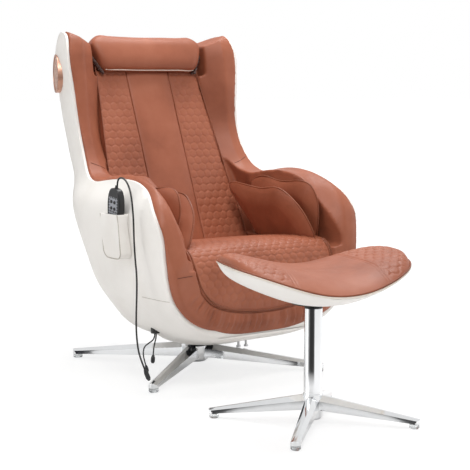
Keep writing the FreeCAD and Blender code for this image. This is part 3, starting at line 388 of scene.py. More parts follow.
def dress_cad_nodes():
    """Gives every CAD node the finish of its material slot."""
    for part in frame["record"]["subparts"]:
        node = frame["nodes"][part["node"]]
        for slot in node.material_slots:
            slot.material = slot_materials[part["material_slot"]]
    for slot in frame["nodes"]["handset_face"].material_slots:
        slot.material = keypad_material()


# Shaping

def link(name, data, material, body):
    """Puts a mesh or curve into the scene as a piece that rides on a body."""
    piece = bpy.data.objects.new(name, data)
    bpy.context.scene.collection.objects.link(piece)
    data.materials.clear()
    data.materials.append(material)
    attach(piece, body)
    return piece


def bake(piece):
    """Applies the piece's modifiers to its mesh."""
    graph = bpy.context.evaluated_depsgraph_get()
    mesh = bpy.data.meshes.new_from_object(piece.evaluated_get(graph))
    piece.modifiers.clear()
    old = piece.data
    piece.data = mesh
    bpy.data.meshes.remove(old)


def welded(name, nodes):
    """A mesh of one or more CAD solids, whose faces share their corners."""
    mesh = bpy.data.meshes.new(name)
    shape = bmesh.new()
    for node in nodes:
        shape.from_mesh(frame["nodes"][node].data)
    bmesh.ops.remove_doubles(shape, verts=shape.verts, dist=weld_distance)
    shape.to_mesh(mesh)
    shape.free()
    return mesh


def shade_smooth(mesh):
    mesh.polygons.foreach_set("use_smooth", [True] * len(mesh.polygons))


def soft_copy(nodes, name, voxel, rounds, body, material=tan):
    """A rounded, evenly meshed copy of one or more CAD solids, ready for vertex moves."""
    piece = link(name, welded(name, nodes), material, body)
    remesh = piece.modifiers.new("remesh", "REMESH")
    remesh.mode = "VOXEL"
    remesh.voxel_size = voxel
    smooth = piece.modifiers.new("smooth", "SMOOTH")
    smooth.factor = 0.5
    smooth.iterations = rounds
    bake(piece)
    piece.data.materials.clear()
    piece.data.materials.append(material)
    shade_smooth(piece.data)
    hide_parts(*nodes)
    return piece


def rows_of(piece, kind):
    """The mesh's points or normals as rows of three."""
    out = np.empty(len(piece.data.vertices) * 3, dtype=np.float32)
    piece.data.vertices.foreach_get(kind, out)
    return out.reshape(-1, 3).astype(np.float64)


def points_of(piece):
    return rows_of(piece, "co")


def normals_of(piece):
    return rows_of(piece, "normal")


def set_points(piece, points):
    piece.data.vertices.foreach_set("co", points.astype(np.float32).reshape(-1))
    piece.data.update()


def push_out(piece, distance):
    """Moves each point along its normal."""
    set_points(piece, points_of(piece) + normals_of(piece) * distance[:, None])


def step(value, low, high):
    """0 below low, 1 above high, smooth between."""
    t = np.clip((value - low) / (high - low), 0.0, 1.0)
    return t * t * (3 - 2 * t)


def honeycomb(u, v, pitch):
    """Distance to the nearest wall of a honeycomb with cells pitch wide."""
    rise = pitch * math.sqrt(3)
    best = None
    for shift_u, shift_v in ((0.0, 0.0), (pitch / 2, rise / 2)):
        du = np.abs(u - shift_u - np.round((u - shift_u) / pitch) * pitch)
        dv = np.abs(v - shift_v - np.round((v - shift_v) / rise) * rise)
        size = np.maximum(du, du / 2 + dv * math.sqrt(3) / 2)
        best = size if best is None else np.minimum(best, size)
    return np.maximum(pitch / 2 - best, 0.0)


def quilt(piece, u, v, where, depth=groove_depth):
    """Sews honeycomb channels: cells stay up and their walls are pulled in."""
    wall = honeycomb(u, v, cell_width)
    pull = np.exp(-(wall / groove_width) ** 2)
    puff = step(wall, 0.0, cell_width * 0.5) * 0.2
    push_out(piece, (puff - pull) * depth * where)


def crease(piece, distance, where, depth, width):
    """Pulls the surface in along a seam, given each point's distance from it."""
    push_out(piece, -depth * np.exp(-(distance / width) ** 2) * where)


def wrinkle(piece, height, size, seed):
    """Soft uneven swelling, as leather over foam has."""
    points = points_of(piece)
    rng = np.random.default_rng(seed)
    waves = 7
    swell = np.zeros(len(points))
    for _ in range(waves):
        direction = rng.normal(size=3)
        direction /= np.linalg.norm(direction)
        swell += np.sin(points @ direction * (2 * math.pi / size) * rng.uniform(0.7, 1.5)
                        + rng.uniform(0, 6.28))
    push_out(piece, swell / waves * height)


def tube(name, points, radius, material, body, closed=False):
    """A smooth round cord or piping through the given control points."""
    data = bpy.data.curves.new(name, "CURVE")
    data.dimensions = "3D"
    data.bevel_depth = radius
    data.bevel_resolution = 3
    data.resolution_u = 8
    data.use_fill_caps = True
    spline = data.splines.new("NURBS")
    spline.points.add(len(points) - 1)
    for target, point in zip(spline.points, points):
        target.co = (*point, 1.0)
    spline.order_u = 3
    if closed:
        spline.use_cyclic_u = True
    else:
        spline.use_endpoint_u = True
    return link(name, data, material, body)


def smooth_line(points, steps):
    """Points along a smooth curve through the given ones."""
    given = np.array(points, dtype=float)
    ends = np.vstack([2 * given[0] - given[1], given, 2 * given[-1] - given[-2]])
    out = []
    for a, b, c, d in zip(ends, ends[1:], ends[2:], ends[3:]):
        for k in range(steps):
            t = k / steps
            out.append(0.5 * (2 * b + (c - a) * t + (2 * a - 5 * b + 4 * c - d) * t ** 2
                              + (3 * b - a - 3 * c + d) * t ** 3))
    out.append(given[-1])
    return np.array(out)


def distance_to_line(u, v, line):
    """Each point's distance from a line in the plane, and the nearest place along it."""
    best = np.full(len(u), np.inf)
    place = np.zeros(len(u))
    for k, (a, b) in enumerate(zip(line, line[1:])):
        run = b - a
        t = np.clip(((u - a[0]) * run[0] + (v - a[1]) * run[1]) / max(run @ run, 1e-12), 0, 1)
        d = np.hypot(u - a[0] - t * run[0], v - a[1] - t * run[1])
        nearer = d < best
        place[nearer] = (k + t[nearer]) / (len(line) - 1)
        best = np.minimum(best, d)
    return best, place


def surface_of(mesh):
    """A mesh made ready for rays and nearest places."""
    return BVHTree.FromPolygons([v.co for v in mesh.vertices], [tuple(f.vertices) for f in mesh.polygons])


def node_surface(node):
    return surface_of(frame["nodes"][node].data)


def on_surface(surface, starts, way, proud):
    """Where rays first meet a surface, moved back by proud; misses are left out.

    The rays start at places in millimetres from the axis, and way has a length of one.
    """
    way = Vector(way)
    met = [surface.ray_cast(axis + Vector(start) * mm, way)[0] for start in starts]
    return [place - way * proud for place in met if place]


def edge_along(piece, stations, way):
    """At each station across a piece, its outermost place in a direction."""
    points = points_of(piece)
    reach = points @ np.array(way)
    half_band = 4 * mm
    found = []
    for x in stations:
        near = np.abs(points[:, 0] - axis.x - x) < half_band
        found.append(Vector(points[near][np.argmax(reach[near])]))
    return found


# Upholstery

def from_axis(points):
    """Each point's X and Y from the chair's axis."""
    return points[:, 0] - axis.x, points[:, 1] - axis.y


def make_seat():
    """The quilted seat, drawn up to the photograph's height, with two rows of piping round its front."""
    piece = soft_copy(["seat_cushion"], "seat_pad", 2.7 * mm, 16, "chair")
    points = points_of(piece)
    x, y = from_axis(points)
    crown = 3 * mm * (1 - np.clip(np.abs(x) / seat_half_width, 0, 1) ** 3)
    points[:, 2] += (seat_lift + crown) * step(points[:, 2], 0.265, 0.345)
    wider = 8 * mm * step(points[:, 2], 0.30, 0.36) * step(-y, 0.22, 0.30)
    points[:, 0] += np.sign(x) * wider * step(np.abs(x), 0.10, 0.24)
    set_points(piece, points)
    normals = normals_of(piece)
    top = step(normals[:, 2], 0.15, 0.5)
    front = step(-normals[:, 1], 0.3, 0.7) * step(-y, 0.24, 0.30)
    off_sides = 1 - step(np.abs(x), 0.222, 0.236)
    border = smooth_line(seat_border, 4)
    inside, _ = distance_to_line(x, points[:, 2], border * mm)
    where = np.clip(top + front, 0, 1) * off_sides * step(inside, 0.010, 0.020)
    quilt(piece, x, seat_top_z - points[:, 2] - y, where)
    wrinkle(piece, 0.8 * mm, 0.17, 4)
    surface = surface_of(piece.data)
    middle_z = 385
    for name, inwards in (("outer", 1.0), ("inner", 8.0)):
        shrink = 1 - inwards / 250
        starts = [(x * shrink, ahead_y, middle_z - (middle_z - z) * shrink) for x, z in border]
        path = on_surface(surface, starts, rearwards, 1.2 * mm)
        tube("seat_%s_piping" % name, path, 2.8 * mm, tan_piping, "chair")


def raised_top(points):
    """Draws the back's top edge up behind the pillow."""
    _, along = lean_coordinates(points)
    rise = back_top_rise * step(along, 0.485, 0.525)
    points[:, 1] += rise * math.sin(back_lean)
    points[:, 2] += rise * math.cos(back_lean)
    return points


def make_back_sides():
    """The two quilted sides of the back."""
    piece = soft_copy(["back_cushion"], "back_quilt", 2.6 * mm, 10, "chair")
    points = raised_top(points_of(piece))
    set_points(piece, points)
    depth, along = lean_coordinates(points)
    x, _ = from_axis(points)
    facing = step(-normals_of(piece)[:, 1], 0.4, 0.75)
    beside_panel = step(np.abs(x), centre_half_width + 3 * mm, centre_half_width + 10 * mm)
    where = facing * beside_panel * step(0.013 - depth, 0.0, 0.006)
    quilt(piece, x, along, where, back_groove_depth)
    wrinkle(piece, 0.7 * mm, 0.15, 9)


def make_back_panel():
    """The smooth panel in the middle of the back, a little crowned."""
    piece = soft_copy(["back_centre_panel"], "back_panel", 3.2 * mm, 8, "chair")
    points = raised_top(points_of(piece))
    depth, _ = lean_coordinates(points)
    x, _ = from_axis(points)
    crown = 1 - np.clip(np.abs(x) / centre_half_width, 0, 1) ** 4
    points[:, 1] -= 5 * mm * crown * step(0.015 - depth, 0, 0.01)
    set_points(piece, points)
    wrinkle(piece, 1.0 * mm, 0.2, 21)


def make_back_shade_cords():
    """Cords in the piping's darker brown where the back meets the wings: painted shade for the shadowed gap
    between them.
    """
    half_widths = ((600, 215), (670, 208), (730, 202), (800, 194), (860, 189), (905, 186))
    for side, word in ((-1, "right"), (1, "left")):
        edge = [lean_point(side * half * mm, -2 * mm, (z * mm - back_foot_z) / math.cos(back_lean))
                for z, half in half_widths]
        # The darker brown of these cords is painted shade for the gap between back and wing
        tube("back_shade_cord_" + word, edge, 2.0 * mm, tan_piping, "chair")


def wall_distance(points, near):
    """How far each of the marked points is from the outer shell; the others count as far."""
    shell = node_surface("outer_shell")
    far = 1.0
    found = np.full(len(points), far)
    for k in np.flatnonzero(near):
        found[k] = shell.find_nearest(Vector(points[k]))[3]
    return found


def sideways(points):
    """Each point's side of the chair, its distance sideways, its Y from the axis and its height."""
    x, y = from_axis(points)
    return np.sign(x), np.abs(x), y, points[:, 2]


def round_arms(points, start, wall):
    """Makes each arm a roll along its rim, whose inner side falls away behind the pads."""
    side, x, y, z = sideways(start)
    away, along = distance_to_line(y, z, smooth_line(arm_rim, 4) * mm)
    crest_x = 0.285 + 0.022 * np.clip((z - 0.40) / 0.10, 0, 1)
    swell = 7 * mm * step(wall, 0.004, 0.020) * step(x, 0.262, 0.300)
    depth = np.where(side < 0, right_arm_fall * (1 - step(along, 0.50, 0.85)),
                     left_arm_fall * (1 - step(along, 0.35, 0.65)))
    fall = depth * np.clip((crest_x - x) / 0.045, 0, 1.2) ** 1.25
    near_rim = np.exp(-(away / 0.05) ** 2) * np.sin(math.pi * np.clip(along, 0, 1)) ** 0.4
    outwards = (swell - fall) * near_rim
    heading = math.radians(40) + math.radians(55) * along
    points[:, 1] -= outwards * np.cos(heading)
    points[:, 2] += outwards * np.sin(heading)


def slope_inner_sides(points, start):
    """The arm's inner side slopes down behind the pads instead of standing upright."""
    side, x, y, z = sideways(start)
    below_top = np.clip(arm_top_z - z, 0, 45 * mm)
    inner_side = step(x, 0.215, 0.230) * (1 - step(x, 0.255, 0.275)) * step(z, 0.44, 0.50)
    beside_pads = step(y, -0.24, -0.18) * (1 - step(y, 0.02, 0.08))
    points[:, 0] -= side * arm_inner_slope * below_top * inner_side * beside_pads


def fill_to_shell(points, start, wall):
    """Ahead of the shell's edge the cover fills out to the shell's outside, most of all low down."""
    side, x, y, z = sideways(start)
    ahead = step(rim_line(z) - y, -0.002, 0.007) * (1 - step(z, *shell_rim_top))
    low = 1 - step(z, 0.19, 0.26)
    thicker = (6 + 5 * low) * mm * (1 - step(wall, 0.003, 0.020)) * ahead
    bend_z = 0.42
    down = np.minimum(z - bend_z, 0)
    reach = np.hypot(x, down)
    points[:, 0] += side * thicker * x / reach
    points[:, 2] += thicker * down / reach


def tuck_under_seat(points, start):
    """What would stand ahead of the seat's rolled front lies under the seat."""
    _, x, y, z = sideways(start)
    heights = [height * mm for _, height in half_border]
    half_width = np.interp(z, heights, [wide * mm for wide, _ in half_border])
    inside = 1 - step(x - half_width, -0.006, 0.001)
    under = step(z, 0.29, 0.31) * (1 - step(z, 0.42, 0.45)) * inside
    tuck = 34 * mm
    points[:, 1] += tuck * under * (1 - step(y, -0.33, -0.30))


def gather(piece, z, wall, border, place):
    """Gathers in the apron, which fan out from the seat's border."""
    rng = np.random.default_rng(12)
    fold = np.zeros(len(z))
    for count in (43, 61, 29):
        phase = rng.uniform(0, 6.28) + 2.0 * np.sin(place * 37 + count)
        fold += np.sin(place * 2 * math.pi * count + phase)
    fade = step(place, 0.14, 0.28) * (1 - step(place, 0.72, 0.86)) * (1 - step(z, 0.25, 0.31))
    off_edges = step(border, 0.004, 0.012) * step(wall, 0.006, 0.022)
    facing = step(-normals_of(piece)[:, 1], 0.1, 0.5)
    push_out(piece, fold * gather_depth * fade * facing * off_edges)


def make_padding():
    """The wings, the arms and the apron: one sewn cover that ends at the shell's front edge."""
    piece = soft_copy(["bolster_right", "bolster_left", "front_apron"], "arm_and_wing_padding", 3.8 * mm, 9,
                      "chair")
    start = points_of(piece)
    points = start.copy()
    _, _, y, z = sideways(start)
    wall = wall_distance(start, (y < -0.04) & (z < 0.62))
    round_arms(points, start, wall)
    slope_inner_sides(points, start)
    fill_to_shell(points, start, wall)
    border, place = distance_to_line(points[:, 0] - axis.x, z, smooth_line(seat_border, 4) * mm)
    tuck_under_seat(points, start)
    set_points(piece, points)
    gather(piece, z, wall, border, place)
    wrinkle(piece, 1.2 * mm, 0.22, 31)
    return piece


def sewn_line(name, piece, starts):
    """A thin dark seam that lies on a piece, where rays from ahead of it meet it."""
    path = on_surface(surface_of(piece.data), starts, rearwards, 0.1 * mm)
    tube(name, path, 0.9 * mm, seam_thread, "chair")


def make_padding_seams(piece):
    """A seam across the foot of each wing and one across the front of each arm."""
    for side, word in ((-1, "right"), (1, "left")):
        wing = [(side * (232 + 8 * k), -300, 600 + 3.2 * k) for k in range(10)]
        sewn_line("wing_seam_" + word, piece, wing)
        arm = [(side * (262 + 8 * k), ahead_y, 337 - 0.04 * k * k) for k in range(11)]
        sewn_line("arm_seam_" + word, piece, arm)


def pad_line(edge):
    """The pad's outline as Y and height above its foot."""
    return smooth_line([(y * mm, z * mm - pad_foot_z) for y, z in edge], 6)


def settle(height, foot_out, tip_in):
    """How far inwards a pad has settled at a height above its foot."""
    return tip_in * height / pad_height - foot_out * np.clip(1 - height / pad_foot_height, 0, 1)


def thin_edges(piece, foot_x, edge, side, foot_out, tip_in):
    """Turns a flat-sided pad into a leaf: full in the middle and thin along its seam."""
    points = points_of(piece)
    mine = side * (points[:, 0] - axis.x) > 0
    right = side * (points[mine, 0] - axis.x) - foot_x
    rise = points[mine, 2] - pad_foot_z
    across = right * math.cos(pad_lean) + rise * math.sin(pad_lean)
    height = -right * math.sin(pad_lean) + rise * math.cos(pad_lean)
    away, _ = distance_to_line(points[mine, 1] - axis.y, height, pad_line(edge))
    full = np.sin(math.pi / 2 * np.clip(away / pad_thin_border, 0, 1))
    across = across * (0.20 + 0.92 * full)
    right = across * math.cos(pad_lean) - height * math.sin(pad_lean)
    points[mine, 0] = axis.x + side * (right + foot_x - settle(height, foot_out, tip_in))
    points[mine, 2] = pad_foot_z + across * math.sin(pad_lean) + height * math.cos(pad_lean)
    set_points(piece, points)


def pad_piping(name, foot_x, edge, body, side, foot_out, tip_in):
    """Piping along the pad's seam."""
    path = []
    for y, height in pad_line(edge)[::2]:
        right = foot_x - height * math.sin(pad_lean) - settle(height, foot_out, tip_in)
        path.append(axis + Vector((side * right, y, pad_foot_z + height * math.cos(pad_lean))))
    tube(name, path, 2.7 * mm, tan_piping, body)


def make_pads():
    """The airbag pads beside the seat: the outer pair stands still and each inner one turns."""
    outer = soft_copy(["outer_pads"], "outer_pad_covers", 3.0 * mm, 4, "chair")
    for side, word in ((-1, "right"), (1, "left")):
        body = "pad_" + word
        piece = soft_copy(["inner_pad_" + word], "inner_pad_%s_cover" % word, 3.0 * mm, 4, body)
        inner_set = pad_settling["inner_" + word]
        outer_set = pad_settling["outer_" + word]
        thin_edges(piece, inner_pad_x, inner_pad_edge, side, *inner_set)
        wrinkle(piece, 1.6 * mm, 0.12, 4 + side)
        pad_piping("inner_pad_%s_piping" % word, inner_pad_x, inner_pad_edge, body, side, *inner_set)
        thin_edges(outer, outer_pad_x, outer_pad_edge, side, *outer_set)
        pad_piping("outer_pad_%s_piping" % word, outer_pad_x, outer_pad_edge, "chair", side, *outer_set)
    wrinkle(outer, 1.6 * mm, 0.12, 11)


def make_pillow():
    """The head pillow as a roll, a little narrower at its foot and at its top than the solid."""
    piece = soft_copy(["head_pillow"], "pillow_roll", 3.2 * mm, 4, "pillow")
    points = points_of(piece)
    _, along = lean_coordinates(points)
    share = np.clip((along - pillow_foot) / pillow_height, 0, 1)
    x, _ = from_axis(points)
    foot = 1 - step(share, 0.0, 0.75)
    top = step(share, 0.7, 1.0)
    sag = 4 * mm * (1 - (x / 0.20) ** 2) * top
    belly = 5 * mm * (1 - (x / 0.21) ** 4) * np.sin(math.pi * share)
    points[:, 0] = axis.x + x * (0.955 - 0.10 * foot - 0.07 * top)
    points[:, 1] -= belly
    points[:, 2] += (13 - 5 * share) * mm - sag
    set_points(piece, points)
    wrinkle(piece, 1.4 * mm, 0.15, 8)
    path = edge_along(piece, np.linspace(-0.166, 0.166, 14), (0, -0.5, -0.86))
    tube("pillow_piping", path, 1.9 * mm, cream_piping, "pillow")


def make_strap():
    """The gathered ends of the strap that holds the pillow, in the corners beneath it."""
    rng = np.random.default_rng(5)
    last = 15
    for side, word in ((-1, "right"), (1, "left")):
        for strand in range(3):
            path = []
            for k in range(last + 1):
                share = k / last
                wave = (3.0 * math.sin(k * 2.1 + strand * 2) + rng.uniform(-1, 1)) * mm
                x = side * (199 - 34 * share + 3 * strand) * mm + wave
                path.append(lean_point(x, 0.3 * wave - (6 + 4 * strand) * mm, (600 - 60 * share) * mm))
            tube("strap_%s_%d" % (word, strand), path, 3.6 * mm, strap_cloth, "pillow")


def make_top_cover():
    piece = soft_copy(["top_cover"], "top_padding", 4.5 * mm, 5, "chair")


def turn_top(piece):
    """Turns a piece of the footstool's top about its column."""
    points = points_of(piece)
    x = (points[:, 0] - stool_centre.x) * stool_soft_length
    y = points[:, 1] - stool_centre.y
    points[:, 0] = stool_centre.x + x * math.cos(stool_yaw) + y * math.sin(stool_yaw)
    points[:, 1] = stool_centre.y - x * math.sin(stool_yaw) + y * math.cos(stool_yaw)
    set_points(piece, points)


def stool_rise(share):
    """How far the footstool's rim has risen at a share of the way from its middle to its end."""
    levelling = (1 - np.cos(math.pi * share)) / 2
    return stool_soft_rise * (0.45 * levelling + 0.55 * share ** 2)


def flatten_ends(piece):
    """The footstool's ends level off instead of rising as steeply as the solid's."""
    points = points_of(piece)
    x = (points[:, 0] - stool_centre.x) / stool_half_length
    rise = stool_rise(np.clip(np.abs(x), 0, 1)) - stool_tip_rise * x ** 2
    points[:, 2] += rise * step(points[:, 2], 0.295, 0.33)
    set_points(piece, points)


def make_stool_shell():
    piece = soft_copy(["stool_shell"], "stool_shell_skin", 2.6 * mm, 3, "stool_top", cream)
    flatten_ends(piece)
    turn_top(piece)


def make_stool_pad():
    """The footstool's leather, quilted at both ends, with a double seam where the quilting stops."""
    piece = soft_copy(["stool_cushion"], "stool_pad", 2.6 * mm, 8, "stool_top")
    flatten_ends(piece)
    points = points_of(piece)
    x = points[:, 0] - stool_centre.x
    y = points[:, 1] - stool_centre.y
    up = step(normals_of(piece)[:, 2], 0.35, 0.6)
    seam = np.abs(x) - stool_seam_x + stool_seam_slant * y
    from_rim = 1 - (np.abs(x) / stool_half_length) ** stool_roundness
    from_rim -= (np.abs(y) / stool_half_depth) ** stool_roundness
    quilt(piece, x, y, up * step(seam, 0.004, 0.010) * step(from_rim, 0.06, 0.16))
    crease(piece, seam, up, 1.8 * mm, 2.0 * mm)
    crease(piece, seam + stool_seam_gap, up, 1.2 * mm, 1.8 * mm)
    wrinkle(piece, 0.8 * mm, 0.17, 14)
    turn_top(piece)


def drawn_out(half, share):
    """Turns a circle's sine or cosine into a place on a rounded oblong."""
    return half * math.copysign(abs(share) ** (2 / stool_roundness), share)


def stool_ring(lift):
    """A closed line round the footstool's turned top, lift above its rim."""
    turn = Matrix.Rotation(-stool_yaw, 3, "Z")
    corners = 64
    proud = 0.5 * mm
    ring = []
    for k in range(corners):
        angle = 2 * math.pi * k / corners
        x = drawn_out(stool_half_length + proud, math.cos(angle))
        y = drawn_out(stool_half_depth + proud, math.sin(angle))
        rise = float(stool_rise(min(abs(x) / stool_half_length, 1)))
        z = stool_rim_z + rise + stool_tilt * y + lift
        ring.append(stool_centre + turn @ Vector((x * stool_soft_length, y, z)))
    return ring


def make_stool_piping():
    for name, lift, material, slot in (("brown", 5.0 * mm, tan_piping, "tan_leather"),
                                       ("cream", 0.5 * mm, cream_piping, "cream_leather")):
        tube("stool_%s_piping" % name, stool_ring(lift), 2.4 * mm, material, "stool_top", closed=True)


def rim_line(z):
    """How far forward the shell's front edge reaches at each height."""
    return np.interp(z, shell_rim_z, shell_rim_y)


def make_shell():
    """The outer shell, its front edge drawn back a little beside the seat."""
    mesh = welded("outer_shell_skin", ["outer_shell"])
    piece = link("outer_shell_skin", mesh, cream, "chair")
    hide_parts("outer_shell")
    points = points_of(piece)
    _, y = from_axis(points)
    beyond = np.maximum(rim_line(points[:, 2]) - y, 0)
    points[:, 1] += beyond * (1 - step(points[:, 2], *shell_rim_top))
    set_points(piece, points)
    shade_smooth(mesh)
    mesh.set_sharp_from_angle(angle=math.radians(35))


def make_shell_seam():
    """The seam across the near side of the shell, below the pocket."""
    starts = [(beside_x, -216 - 11 * k, 268) for k in range(12)]
    seam = on_surface(node_surface("outer_shell"), starts, leftwards, 0.2 * mm)
    tube("shell_seam", seam, 0.9 * mm, cream_seam, "chair")


def make_pocket():
    """The handset's pocket, with piping down its rear side, along its foot and up its front side."""
    piece = soft_copy(["handset_pocket"], "pocket_patch", 1.3 * mm, 3, "chair", cream)
    rear = pocket_side_y[1] - 1
    front = pocket_side_y[0] + 1
    low = pocket_foot_z + 1
    corner = 22
    bends = [(corner * math.sin(angle), corner * math.cos(angle)) for angle in (0.4, 0.8, 1.2)]
    outline = [(rear, pocket_top_z - 1), (rear, low + corner)]
    outline += [(rear - corner + cosine, low + corner - sine) for sine, cosine in bends]
    outline += [(rear - corner, low), (front + corner, low)]
    outline += [(front + corner - sine, low + corner - cosine) for sine, cosine in bends]
    outline += [(front, low + corner), (front, pocket_top_z - 1)]
    starts = [(beside_x, y, z) for y, z in outline]
    path = on_surface(node_surface("handset_pocket"), starts, leftwards, 0.4 * mm)
    tube("pocket_piping", path, 1.5 * mm, cream_seam, "chair")


def from_middle(nodes, links, value, pitch, shift):
    """How far a value is from the middle of its repeat, as a share of the pitch."""
    repeat = calculate(nodes, links, "MULTIPLY_ADD", value, 1 / pitch, shift)
    off = calculate(nodes, links, "SUBTRACT", calculate(nodes, links, "FRACT", repeat), 0.5)
    return calculate(nodes, links, "ABSOLUTE", off)


def beyond_reach(nodes, links, value, centre, reach):
    """By how much a value is further than reach from the centre."""
    off = calculate(nodes, links, "SUBTRACT", value, centre)
    return calculate(nodes, links, "SUBTRACT", calculate(nodes, links, "ABSOLUTE", off), reach)


def keypad_material():
    """The silver face with its rows of small flat membrane fields, left bare round the four keys."""
    material, nodes, links, surface = shader("keypad face")
    place = nodes.new("ShaderNodeMapping")
    place.vector_type = "TEXTURE"
    place.inputs["Location"].default_value = handset_foot
    place.inputs["Rotation"].default_value = (handset_tip, handset_lean, 0)
    links.new(texture_place(nodes), place.inputs["Vector"])
    split = nodes.new("ShaderNodeSeparateXYZ")
    links.new(place.outputs["Vector"], split.inputs["Vector"])
    across = from_middle(nodes, links, split.outputs["Y"], 8.5 * mm, 40.0)
    up = from_middle(nodes, links, split.outputs["Z"], 7.8 * mm, 0.0)
    from_centre = calculate(nodes, links, "MAXIMUM", across, up)
    field = calculate(nodes, links, "LESS_THAN", from_centre, 0.33)
    from_keys = calculate(nodes, links, "MAXIMUM",
                          beyond_reach(nodes, links, split.outputs["Y"], 0.0, 14.5 * mm),
                          beyond_reach(nodes, links, split.outputs["Z"], 131 * mm, 15.5 * mm))
    off_keys = calculate(nodes, links, "GREATER_THAN", from_keys, 0.0)
    field = calculate(nodes, links, "MULTIPLY", field, off_keys)
    colour = mixed(nodes, links, field, (0.33, 0.34, 0.37), (0.012, 0.012, 0.014))
    links.new(colour, surface.inputs["Base Color"])
    surface.inputs["Roughness"].default_value = 0.33
    bump(nodes, links, surface, [(field, 0.4 * mm, 0.5)])
    return material


# Cords: the routes repeat the part's source, in millimetres from the axis

def handset_point(x, y, z):
    """The place of a point of the handset, drawn upright, once it stands in the pocket."""
    turned = Euler((handset_tip, handset_lean, 0), "XYZ").to_matrix() @ Vector((x, y, z))
    return (handset_foot + turned * mm - axis) / mm


def handset_cord():
    """The cord comes out of the handset's top, bends over to the front and hangs down to its plug."""
    top = 178
    leave = handset_point(0, 0, top + 14)
    bend = [(-1, -5, 9), (-2, -14, 15), (-4, -28, 17), (-5, -45, 14), (-6, -61, 4), (-6, -74, -14),
            (-6, -83, -42)]
    fall = [(-384, -261, 490), (-384, -262, 440), (-384, -267, 388), (-385, -277, 337), (-385, -276, 286),
            (-385, -272, 234), (-384, -270, 183), (-383, -276, 138), (-374, -277, 106), (-364, -280, 80)]
    route = [handset_point(0, 0, top + 4), leave]
    route += [leave + Vector(point) for point in bend]
    route += [Vector(point) for point in fall]
    return [axis + point * mm for point in route]


def lead_routes():
    """The long and the short lead, which both hang from the gland under the shell."""
    x = -250.0
    y = -160.0
    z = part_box("lead_gland")[0].z / mm
    long = [(x - 4, y - 3, z), (x - 5, y - 4, z - 11), (x - 14, y - 6, z - 20), (x - 30, y - 8, z - 26),
            (x - 45, y - 11, z - 33), (x - 51, y - 14, z - 49), (x - 50, y - 17, z - 67),
            (x - 46, y - 20, z - 84)]
    short = [(x + 5, y + 3, z), (x + 5, y + 3, z - 10), (x + 1, y + 1, z - 21), (x - 5, y - 2, z - 32),
             (x - 9, y - 4, z - 46), (x - 11, y - 5, z - 61)]
    return [[axis + Vector(p) * mm for p in route] for route in (long, short)]


def make_cords():
    route = handset_cord()
    cord = tube("handset_flex", route, 2.5 * mm, rubber, "handset")
    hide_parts("handset_cord")
    for name, route, length in zip(("lead_long", "lead_short"), lead_routes(), (0.107, 0.063)):
        lead = tube(name + "_flex", route, 2.0 * mm, rubber, "chair")
        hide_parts(name)


# Stage

def wide_square(size):
    """The floor's mesh, a square that reaches size to each side."""
    mesh = bpy.data.meshes.new("floor")
    corners = [(-size, -size, 0), (size, -size, 0), (size, size, 0), (-size, size, 0)]
    mesh.from_pydata(corners, [], [(0, 1, 2, 3)])
    return mesh


def make_floor():
    """A white floor that takes soft shadows near the chair and is plain white further off.

    What shiny parts mirror of it is dark to one side of the footstool, as in the photograph.
    """
    mesh = wide_square(60.0)
    floor = bpy.data.objects.new("floor", mesh)
    bpy.context.scene.collection.objects.link(floor)
    material, nodes, links, surface = shader("studio floor")
    surface.inputs["Roughness"].default_value = 0.38
    rays = nodes.new("ShaderNodeLightPath").outputs
    from_stool = nodes.new("ShaderNodeVectorMath")
    from_stool.operation = "SUBTRACT"
    links.new(texture_place(nodes), from_stool.inputs[0])
    from_stool.inputs[1].default_value = (stool_centre.x, stool_centre.y, 0.0)
    offset = from_stool.outputs["Vector"]
    sector = ramp(nodes, links, bearing(nodes, links, offset), [
        (0.0, black), (0.17, black), (0.20, white), (0.93, white), (0.97, black)])
    away = spread(nodes, links, length_of(nodes, links, offset), 0.0, 1.0, 0.45, 0.65)
    mirrored = calculate(nodes, links, "MULTIPLY", rays["Is Glossy Ray"], away)
    paint = mixed(nodes, links, mirrored, (0.86, 0.86, 0.86), sector, "MULTIPLY")
    links.new(paint, surface.inputs["Base Color"])
    glow = nodes.new("ShaderNodeEmission")
    glow.inputs["Color"].default_value = (*white, 1.0)
    glow.inputs["Strength"].default_value = floor_glow
    reach = length_of(nodes, links, texture_place(nodes))
    fade = spread(nodes, links, reach, floor_share, 1.0, 0.9, 3.2, smooth=True)
    mix = nodes.new("ShaderNodeMixShader")
    links.new(calculate(nodes, links, "MULTIPLY", rays["Is Camera Ray"], fade), mix.inputs["Fac"])
    links.new(surface.outputs["BSDF"], mix.inputs[1])
    links.new(glow.outputs["Emission"], mix.inputs[2])
    links.new(mix.outputs["Shader"], nodes["Material Output"].inputs["Surface"])
    mesh.materials.append(material)


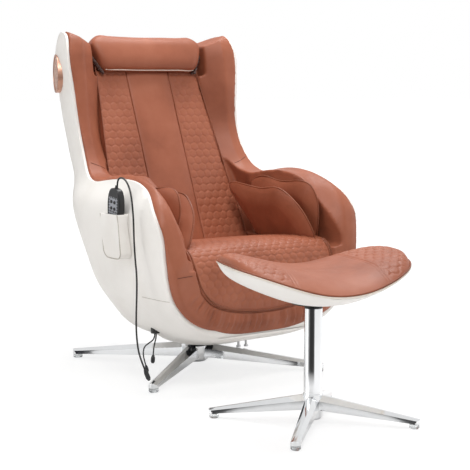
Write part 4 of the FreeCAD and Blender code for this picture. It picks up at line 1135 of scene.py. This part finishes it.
def make_world():
    """White behind everything; other rays see a studio with bright panels and dark gaps."""
    world = bpy.data.worlds.new("studio")
    bpy.context.scene.world = world
    world.use_nodes = True
    nodes = world.node_tree.nodes
    links = world.node_tree.links
    background = nodes["Background"]
    place = nodes.new("ShaderNodeTexCoord").outputs["Generated"]
    dark = (0.03, 0.03, 0.035)
    grey = (0.30, 0.30, 0.31)
    panel = (0.95, 0.95, 0.95)
    sides = ramp(nodes, links, bearing(nodes, links, place), [
        (0.0, panel), (0.03, dark), (0.15, dark), (0.19, panel), (0.40, panel), (0.44, grey), (0.50, panel),
        (0.66, panel), (0.70, dark), (0.74, panel), (1.0, panel)])
    split = nodes.new("ShaderNodeSeparateXYZ")
    links.new(place, split.inputs["Vector"])
    height = spread(nodes, links, split.outputs["Z"], 0.0, 1.0, 0.35, 0.60)
    room = mixed(nodes, links, height, sides, (0.85, 0.85, 0.85))
    rays = nodes.new("ShaderNodeLightPath").outputs
    plain = calculate(nodes, links, "MAXIMUM", rays["Is Camera Ray"], rays["Is Transmission Ray"])
    links.new(mixed(nodes, links, plain, room, white), background.inputs["Color"])
    bright = calculate(nodes, links, "MAXIMUM", plain, rays["Is Glossy Ray"])
    links.new(spread(nodes, links, bright, room_light, 1.0), background.inputs["Strength"])


def area_light(name, place, target, size, power):
    data = bpy.data.lights.new(name, "AREA")
    data.shape = "RECTANGLE"
    data.size = size[0]
    data.size_y = size[1]
    data.energy = power
    lamp = bpy.data.objects.new(name, data)
    bpy.context.scene.collection.objects.link(lamp)
    lamp.location = place
    lamp.rotation_euler = (Vector(target) - Vector(place)).to_track_quat("-Z", "Y").to_euler()


def make_lights():
    aim = axis + Vector((0, -0.2, 0.5))
    area_light("key", axis + Vector((-1.4, -2.5, 3.6)), aim, (1.3, 1.3), 74)
    area_light("top", axis + Vector((0.6, 0.2, 3.4)), aim, (1.8, 1.8), 84)
    area_light("right_fill", axis + Vector((3.2, -1.6, 1.6)), aim, (1.6, 2.4), 20)
    area_light("left_fill", axis + Vector((-3.4, 0.4, 1.5)), aim, (1.6, 2.4), 28)


def make_camera():
    """The photograph's camera, fitted to the feet of the two star bases."""
    azimuth = math.radians(-35.0)
    distance = 3.98
    height = 0.847
    focal_pixels = 1320.0
    frame_pixels = 470.0
    axis_column = 194.5
    pitch = math.radians(6.43)
    yaw = math.atan((frame_pixels / 2 - axis_column) / focal_pixels)
    ahead = Vector((-math.sin(azimuth), math.cos(azimuth), 0))
    data = bpy.data.cameras.new("camera")
    camera = bpy.data.objects.new("camera", data)
    bpy.context.scene.collection.objects.link(camera)
    camera.location = axis - ahead * distance + Vector((0, 0, height))
    camera.rotation_euler = Euler((math.pi / 2 - pitch, 0, azimuth - yaw), "XYZ")
    data.sensor_width = 36.0
    data.lens = focal_pixels / frame_pixels * data.sensor_width
    bpy.context.scene.camera = camera


dress_cad_nodes()
make_seat()
make_back_sides()
make_back_panel()
make_back_shade_cords()
make_padding_seams(make_padding())
make_pads()
make_pillow()
make_strap()
make_top_cover()
make_shell()
make_shell_seam()
make_pocket()
make_stool_shell()
make_stool_pad()
make_stool_piping()
make_cords()
make_floor()
make_world()
make_lights()
make_camera()
bpy.context.scene.view_settings.view_transform = "Standard"
